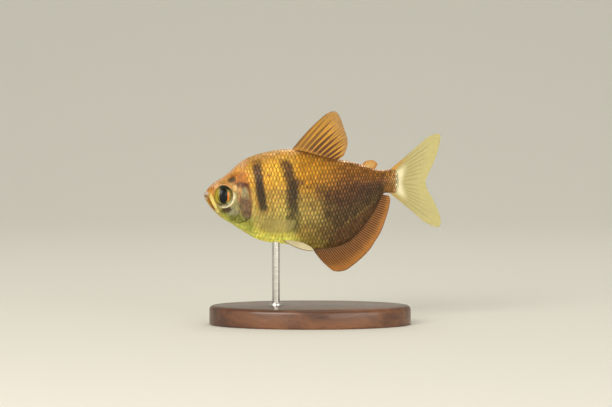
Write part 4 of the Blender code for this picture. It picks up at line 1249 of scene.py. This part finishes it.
def tailPaint():
    paint, colour, out, rays, clouds = finPaint("tail_fin")
    aside = abs(rays - 9.5)
    near = paint.rise(out, 0.34, 0.15) * paint.rise(aside, 8.0, 4.5)
    flesh = paint.rise(aside + paint.rise(out, 0.16, 0.0) * 1.2, 6.8, 8.6) * paint.rise(out, 0.42, 0.14)
    flesh = flesh * (1 - paint.rise(rays, 9.0, 10.0) * 0.65)
    leading = paint.rise(aside, 9.0, 9.35)
    paint.feed("Base_Color", paint.washed(
        colour, (near, 0.9, (230, 221, 184)), (flesh, 0.9, (188, 132, 50)),
        (leading * paint.rise(out, 0.9, 0.5), 0.5, (178, 138, 88))))
    paint.feed("Alpha", 0.60 + clouds * 0.1 + near * 0.4 + flesh * 0.4 + leading * 0.3)
    return paint.material


def pelvicPaint():
    paint, colour, _, rays, _ = finPaint("pelvic_fin")
    paint.feed("Base_Color", paint.washed(colour, (paint.rise(rays, 0.9, 0.3), 0.75, (112, 86, 62))))
    return paint.material


def adiposePaint():
    paint, colour, _, rays, _ = finPaint("adipose_fin")
    around = paint.rise(abs(rays - 2.0), 0.8, 1.9)
    paint.feed("Base_Color", paint.washed(colour, (around, 0.8, (166, 104, 36))))
    return paint.material


def eyePaint():
    paint = Paint("eye_ball", Roughness=0.35, Coat_Weight=0.30, Coat_Roughness=0.08,
                  Specular_IOR_Level=0.12)
    across, up, _ = paint.parts(paint.stored("gaze"))
    streaks = paint.speckle(paint.place(), 2600) - 0.5
    clouds = paint.speckle(paint.place(), 900, 2.0) - 0.5
    far = (across**2 + up**2) ** 0.5
    gazeX, gazeZ = eye["gaze"]
    lensX, lensZ = eye["lens"]
    fromPupil = (abs((across - gazeX) / lensX) ** 2.5 + abs((up - gazeZ) / lensZ) ** 2.5) ** 0.4
    beside = across - gazeX
    pupil = paint.rise(fromPupil + streaks * 0.12, 1.06, 0.94)
    shadow = paint.rise(fromPupil + streaks * 0.6, 1.45, 1.05) * paint.rise(beside, 0.4, 0.2)
    crescent = paint.rise(abs(far - 0.83), 0.14, 0.05) * paint.rise(across - up, 0.45, 1.0)
    cap = paint.rise(abs(across - 0.04 + streaks * 0.3), 0.68, 0.40)
    cap = cap * paint.rise(up + clouds * 0.2, 0.44, 0.62)
    under = paint.rise(abs(across + 0.05 + streaks * 0.2), 0.50, 0.20) * paint.rise(-up, 0.58, 0.70)
    glint = paint.rise(abs(fromPupil - 1.22), 0.30, 0.10) * paint.rise(beside, 0.30, 0.46)
    ring = paint.rise(abs(far - 0.74), 0.06, 0.02) * paint.rise(-across, 0.3, 0.6)
    iris = paint.ramp(far + streaks * 0.08, (0.40, (140, 124, 44)), (0.62, (150, 134, 50)),
                      (0.74, (158, 144, 66)), (0.86, (176, 162, 84)), (0.93, (70, 58, 26)))
    colour = paint.washed(
        iris, (paint.rise(-across, 0.55, 0.85), 0.8, (168, 148, 20)),
        (paint.rise(across, 0.25, 0.6) * paint.rise(up, 0.6, 0.2), 0.7, (140, 128, 74)),
        (paint.rise(up + streaks * 0.4, 0.25, 0.5) * paint.rise(across, 0.0, 0.3), 0.7, (112, 104, 74)),
        (shadow, 0.75, (44, 42, 20)), (crescent * paint.rise(up, 0.1, -0.3), 0.95, (250, 240, 200)),
        (cap * paint.rise(far, 0.97, 0.92), 0.95, (28, 30, 22)),
        (under * paint.rise(far, 0.92, 0.80), 0.85, (50, 46, 24)),
        (glint * paint.rise(abs(up + 0.08), 0.46, 0.26), 0.95, (236, 118, 44)),
        (ring, 0.6, (60, 50, 18)), (pupil, 1.0, (6, 11, 12)))
    paint.feed("Base_Color", colour)
    paint.feed("Metallic", (1 - pupil) * 0.30)
    paint.feed("Normal", paint.bump(streaks * (1 - pupil), 0.2, 0.00005))
    return paint.material


def woodPaint():
    paint = Paint("dark_wood", Roughness=0.35, Coat_Weight=0.4, Coat_Roughness=0.12)
    stretched = paint.node("ShaderNodeMapping", None, {"Vector": paint.place(), "Scale": (60, 900, 900)})
    warp = paint.speckle(paint.place(), 45) - 0.5
    x, y, z = paint.parts(stretched)
    bent = paint.node("ShaderNodeCombineXYZ", None, (x, y + warp * 14, z + warp * 9))
    rings = paint.speckle(bent, 0.35, 5.0, 0.6)
    pores = paint.speckle(bent, 3.2, 2.0, 0.5)
    colour = paint.ramp(rings, (0.30, (58, 33, 20)), (0.5, (92, 54, 32)), (0.68, (124, 78, 46)))
    paint.feed("Base_Color", paint.washed(colour, (paint.rise(pores, 0.60, 0.72), 0.5, (44, 25, 15))))
    paint.feed("Roughness", 0.30 + pores * 0.2)
    paint.feed("Normal", paint.bump(rings * 0.6 - paint.rise(pores, 0.6, 0.72), 0.15, 0.0001))
    return paint.material


def steelPaint():
    paint = Paint("brushed_rod", Metallic=1.0, Roughness=0.28)
    x, y, z = paint.parts(paint.place())
    turned = paint.node("ShaderNodeCombineXYZ", None, (x * 400, y * 400, z * 9000))
    lines = paint.speckle(turned, 1.0)
    paint.feed("Base_Color", paint.ramp(lines, (0.3, (176, 174, 168)), (0.7, (214, 212, 206))))
    paint.feed("Roughness", 0.22 + lines * 0.16)
    paint.feed("Normal", paint.bump(lines, 0.08, 0.00003))
    return paint.material


def dress(piece, material):
    piece.data.materials.clear()
    piece.data.materials.append(material)


fishMaterial = fishPaint()
for piece in (fishSkin, scalesLeft, scalesRight):
    dress(piece, fishMaterial)
finMaterials = {"dorsal": dorsalPaint(), "anal": analPaint(), "tail": tailPaint(), "pelvic": pelvicPaint(),
                "adipose": adiposePaint(), "pectoral": finPaint("pectoral_fin")[0].material}
for name, piece in finPieces.items():
    dress(piece, finMaterials[name.split("_")[0]])
eyeMaterial = eyePaint()
for piece in eyes:
    dress(piece, eyeMaterial)
dress(baseBoard, woodPaint())
dress(rod, steelPaint())
print("painted")


# floor, light and camera
studio = {
    "floor": 1.6, "curve": 0.75, "floorShift": -0.5, "floorColour": (238, 236, 226),  # metres
    "lights": {  # place, size, power, colour
        "key": ((-0.28, -0.54, 0.26), 0.42, 2.9, (1.0, 0.95, 0.85)),
        "fill": ((0.36, -0.50, 0.05), 0.50, 1.9, (1.0, 0.97, 0.88)),
        "top": ((0.05, 0.18, 0.60), 0.40, 0.9, (1.0, 0.96, 0.88)),
    },
    "litPlace": (0, 0, 0.025),
    "horizon": 0.62, "zenith": 0.30, "skyTop": 0.9, "skyColour": (1.0, 0.975, 0.92, 1),
    "camera": (-0.85, 25.2), "distance": 620.0, "elevation": 3.0, "frameWidth": 127.3,  # mm and degrees
}


def makeFloor():
    mesh = bmesh.new()
    bmesh.ops.create_grid(mesh, x_segments=1, y_segments=1, size=studio["floor"])
    back = [e for e in mesh.edges if all(v.co.y > 0 for v in e.verts)]
    raised = corners(bmesh.ops.extrude_edge_only(mesh, edges=back))
    bmesh.ops.translate(mesh, verts=raised, vec=(0, 0, studio["floor"]))
    bmesh.ops.bevel(mesh, geom=back, offset=studio["curve"], segments=24, profile=0.5, affect="EDGES",
                    material=-1)
    bmesh.ops.translate(mesh, verts=mesh.verts, vec=(0, studio["floorShift"], 0))
    bmesh.ops.recalc_face_normals(mesh, faces=mesh.faces)
    floor = addObject("studio_floor", toData("studio_floor", mesh))
    floor.data.shade_smooth()
    dress(floor, Paint("floor_paper", Base_Color=hue(*studio["floorColour"]), Roughness=0.9).material)


def makeLight(name, place, size, power, colour):
    data = bpy.data.lights.new(name, "AREA")
    data.shape, data.size, data.energy, data.color = "DISK", size, power, colour
    light = addObject(name, data)
    light.location = place
    way = Vector(studio["litPlace"]) - Vector(place)
    light.rotation_euler = way.to_track_quat("-Z", "Y").to_euler()


def makeSky():
    sky = Paint("studio", "worlds", "Background", Color=studio["skyColour"])
    height = sky.parts(sky.node("ShaderNodeTexCoord", out="Generated"))[2]
    values = {"Value": height, "From Max": studio["skyTop"], "To Min": studio["horizon"],
              "To Max": studio["zenith"]}
    sky.feed("Strength", sky.node("ShaderNodeMapRange", None, values))
    bpy.context.scene.world = sky.material


def makeCamera():
    lens = bpy.data.cameras.new("camera")
    lens.lens = lens.sensor_width * studio["distance"] / studio["frameWidth"]
    lens.clip_start, lens.clip_end = 0.01, 20
    camera = addObject("camera", lens)
    tilt = math.radians(studio["elevation"])
    aim = Vector((studio["camera"][0], 0, studio["camera"][1])) * mm
    camera.location = aim + Vector((0, -math.cos(tilt), math.sin(tilt))) * studio["distance"] * mm
    camera.rotation_euler = (math.pi / 2 - tilt, 0, 0)
    bpy.context.scene.camera = camera


makeFloor()
for name, (place, size, power, colour) in studio["lights"].items():
    makeLight(name, place, size, power, colour)
makeSky()
makeCamera()
bpy.context.scene.view_settings.view_transform = "Standard"
print("studio ready")
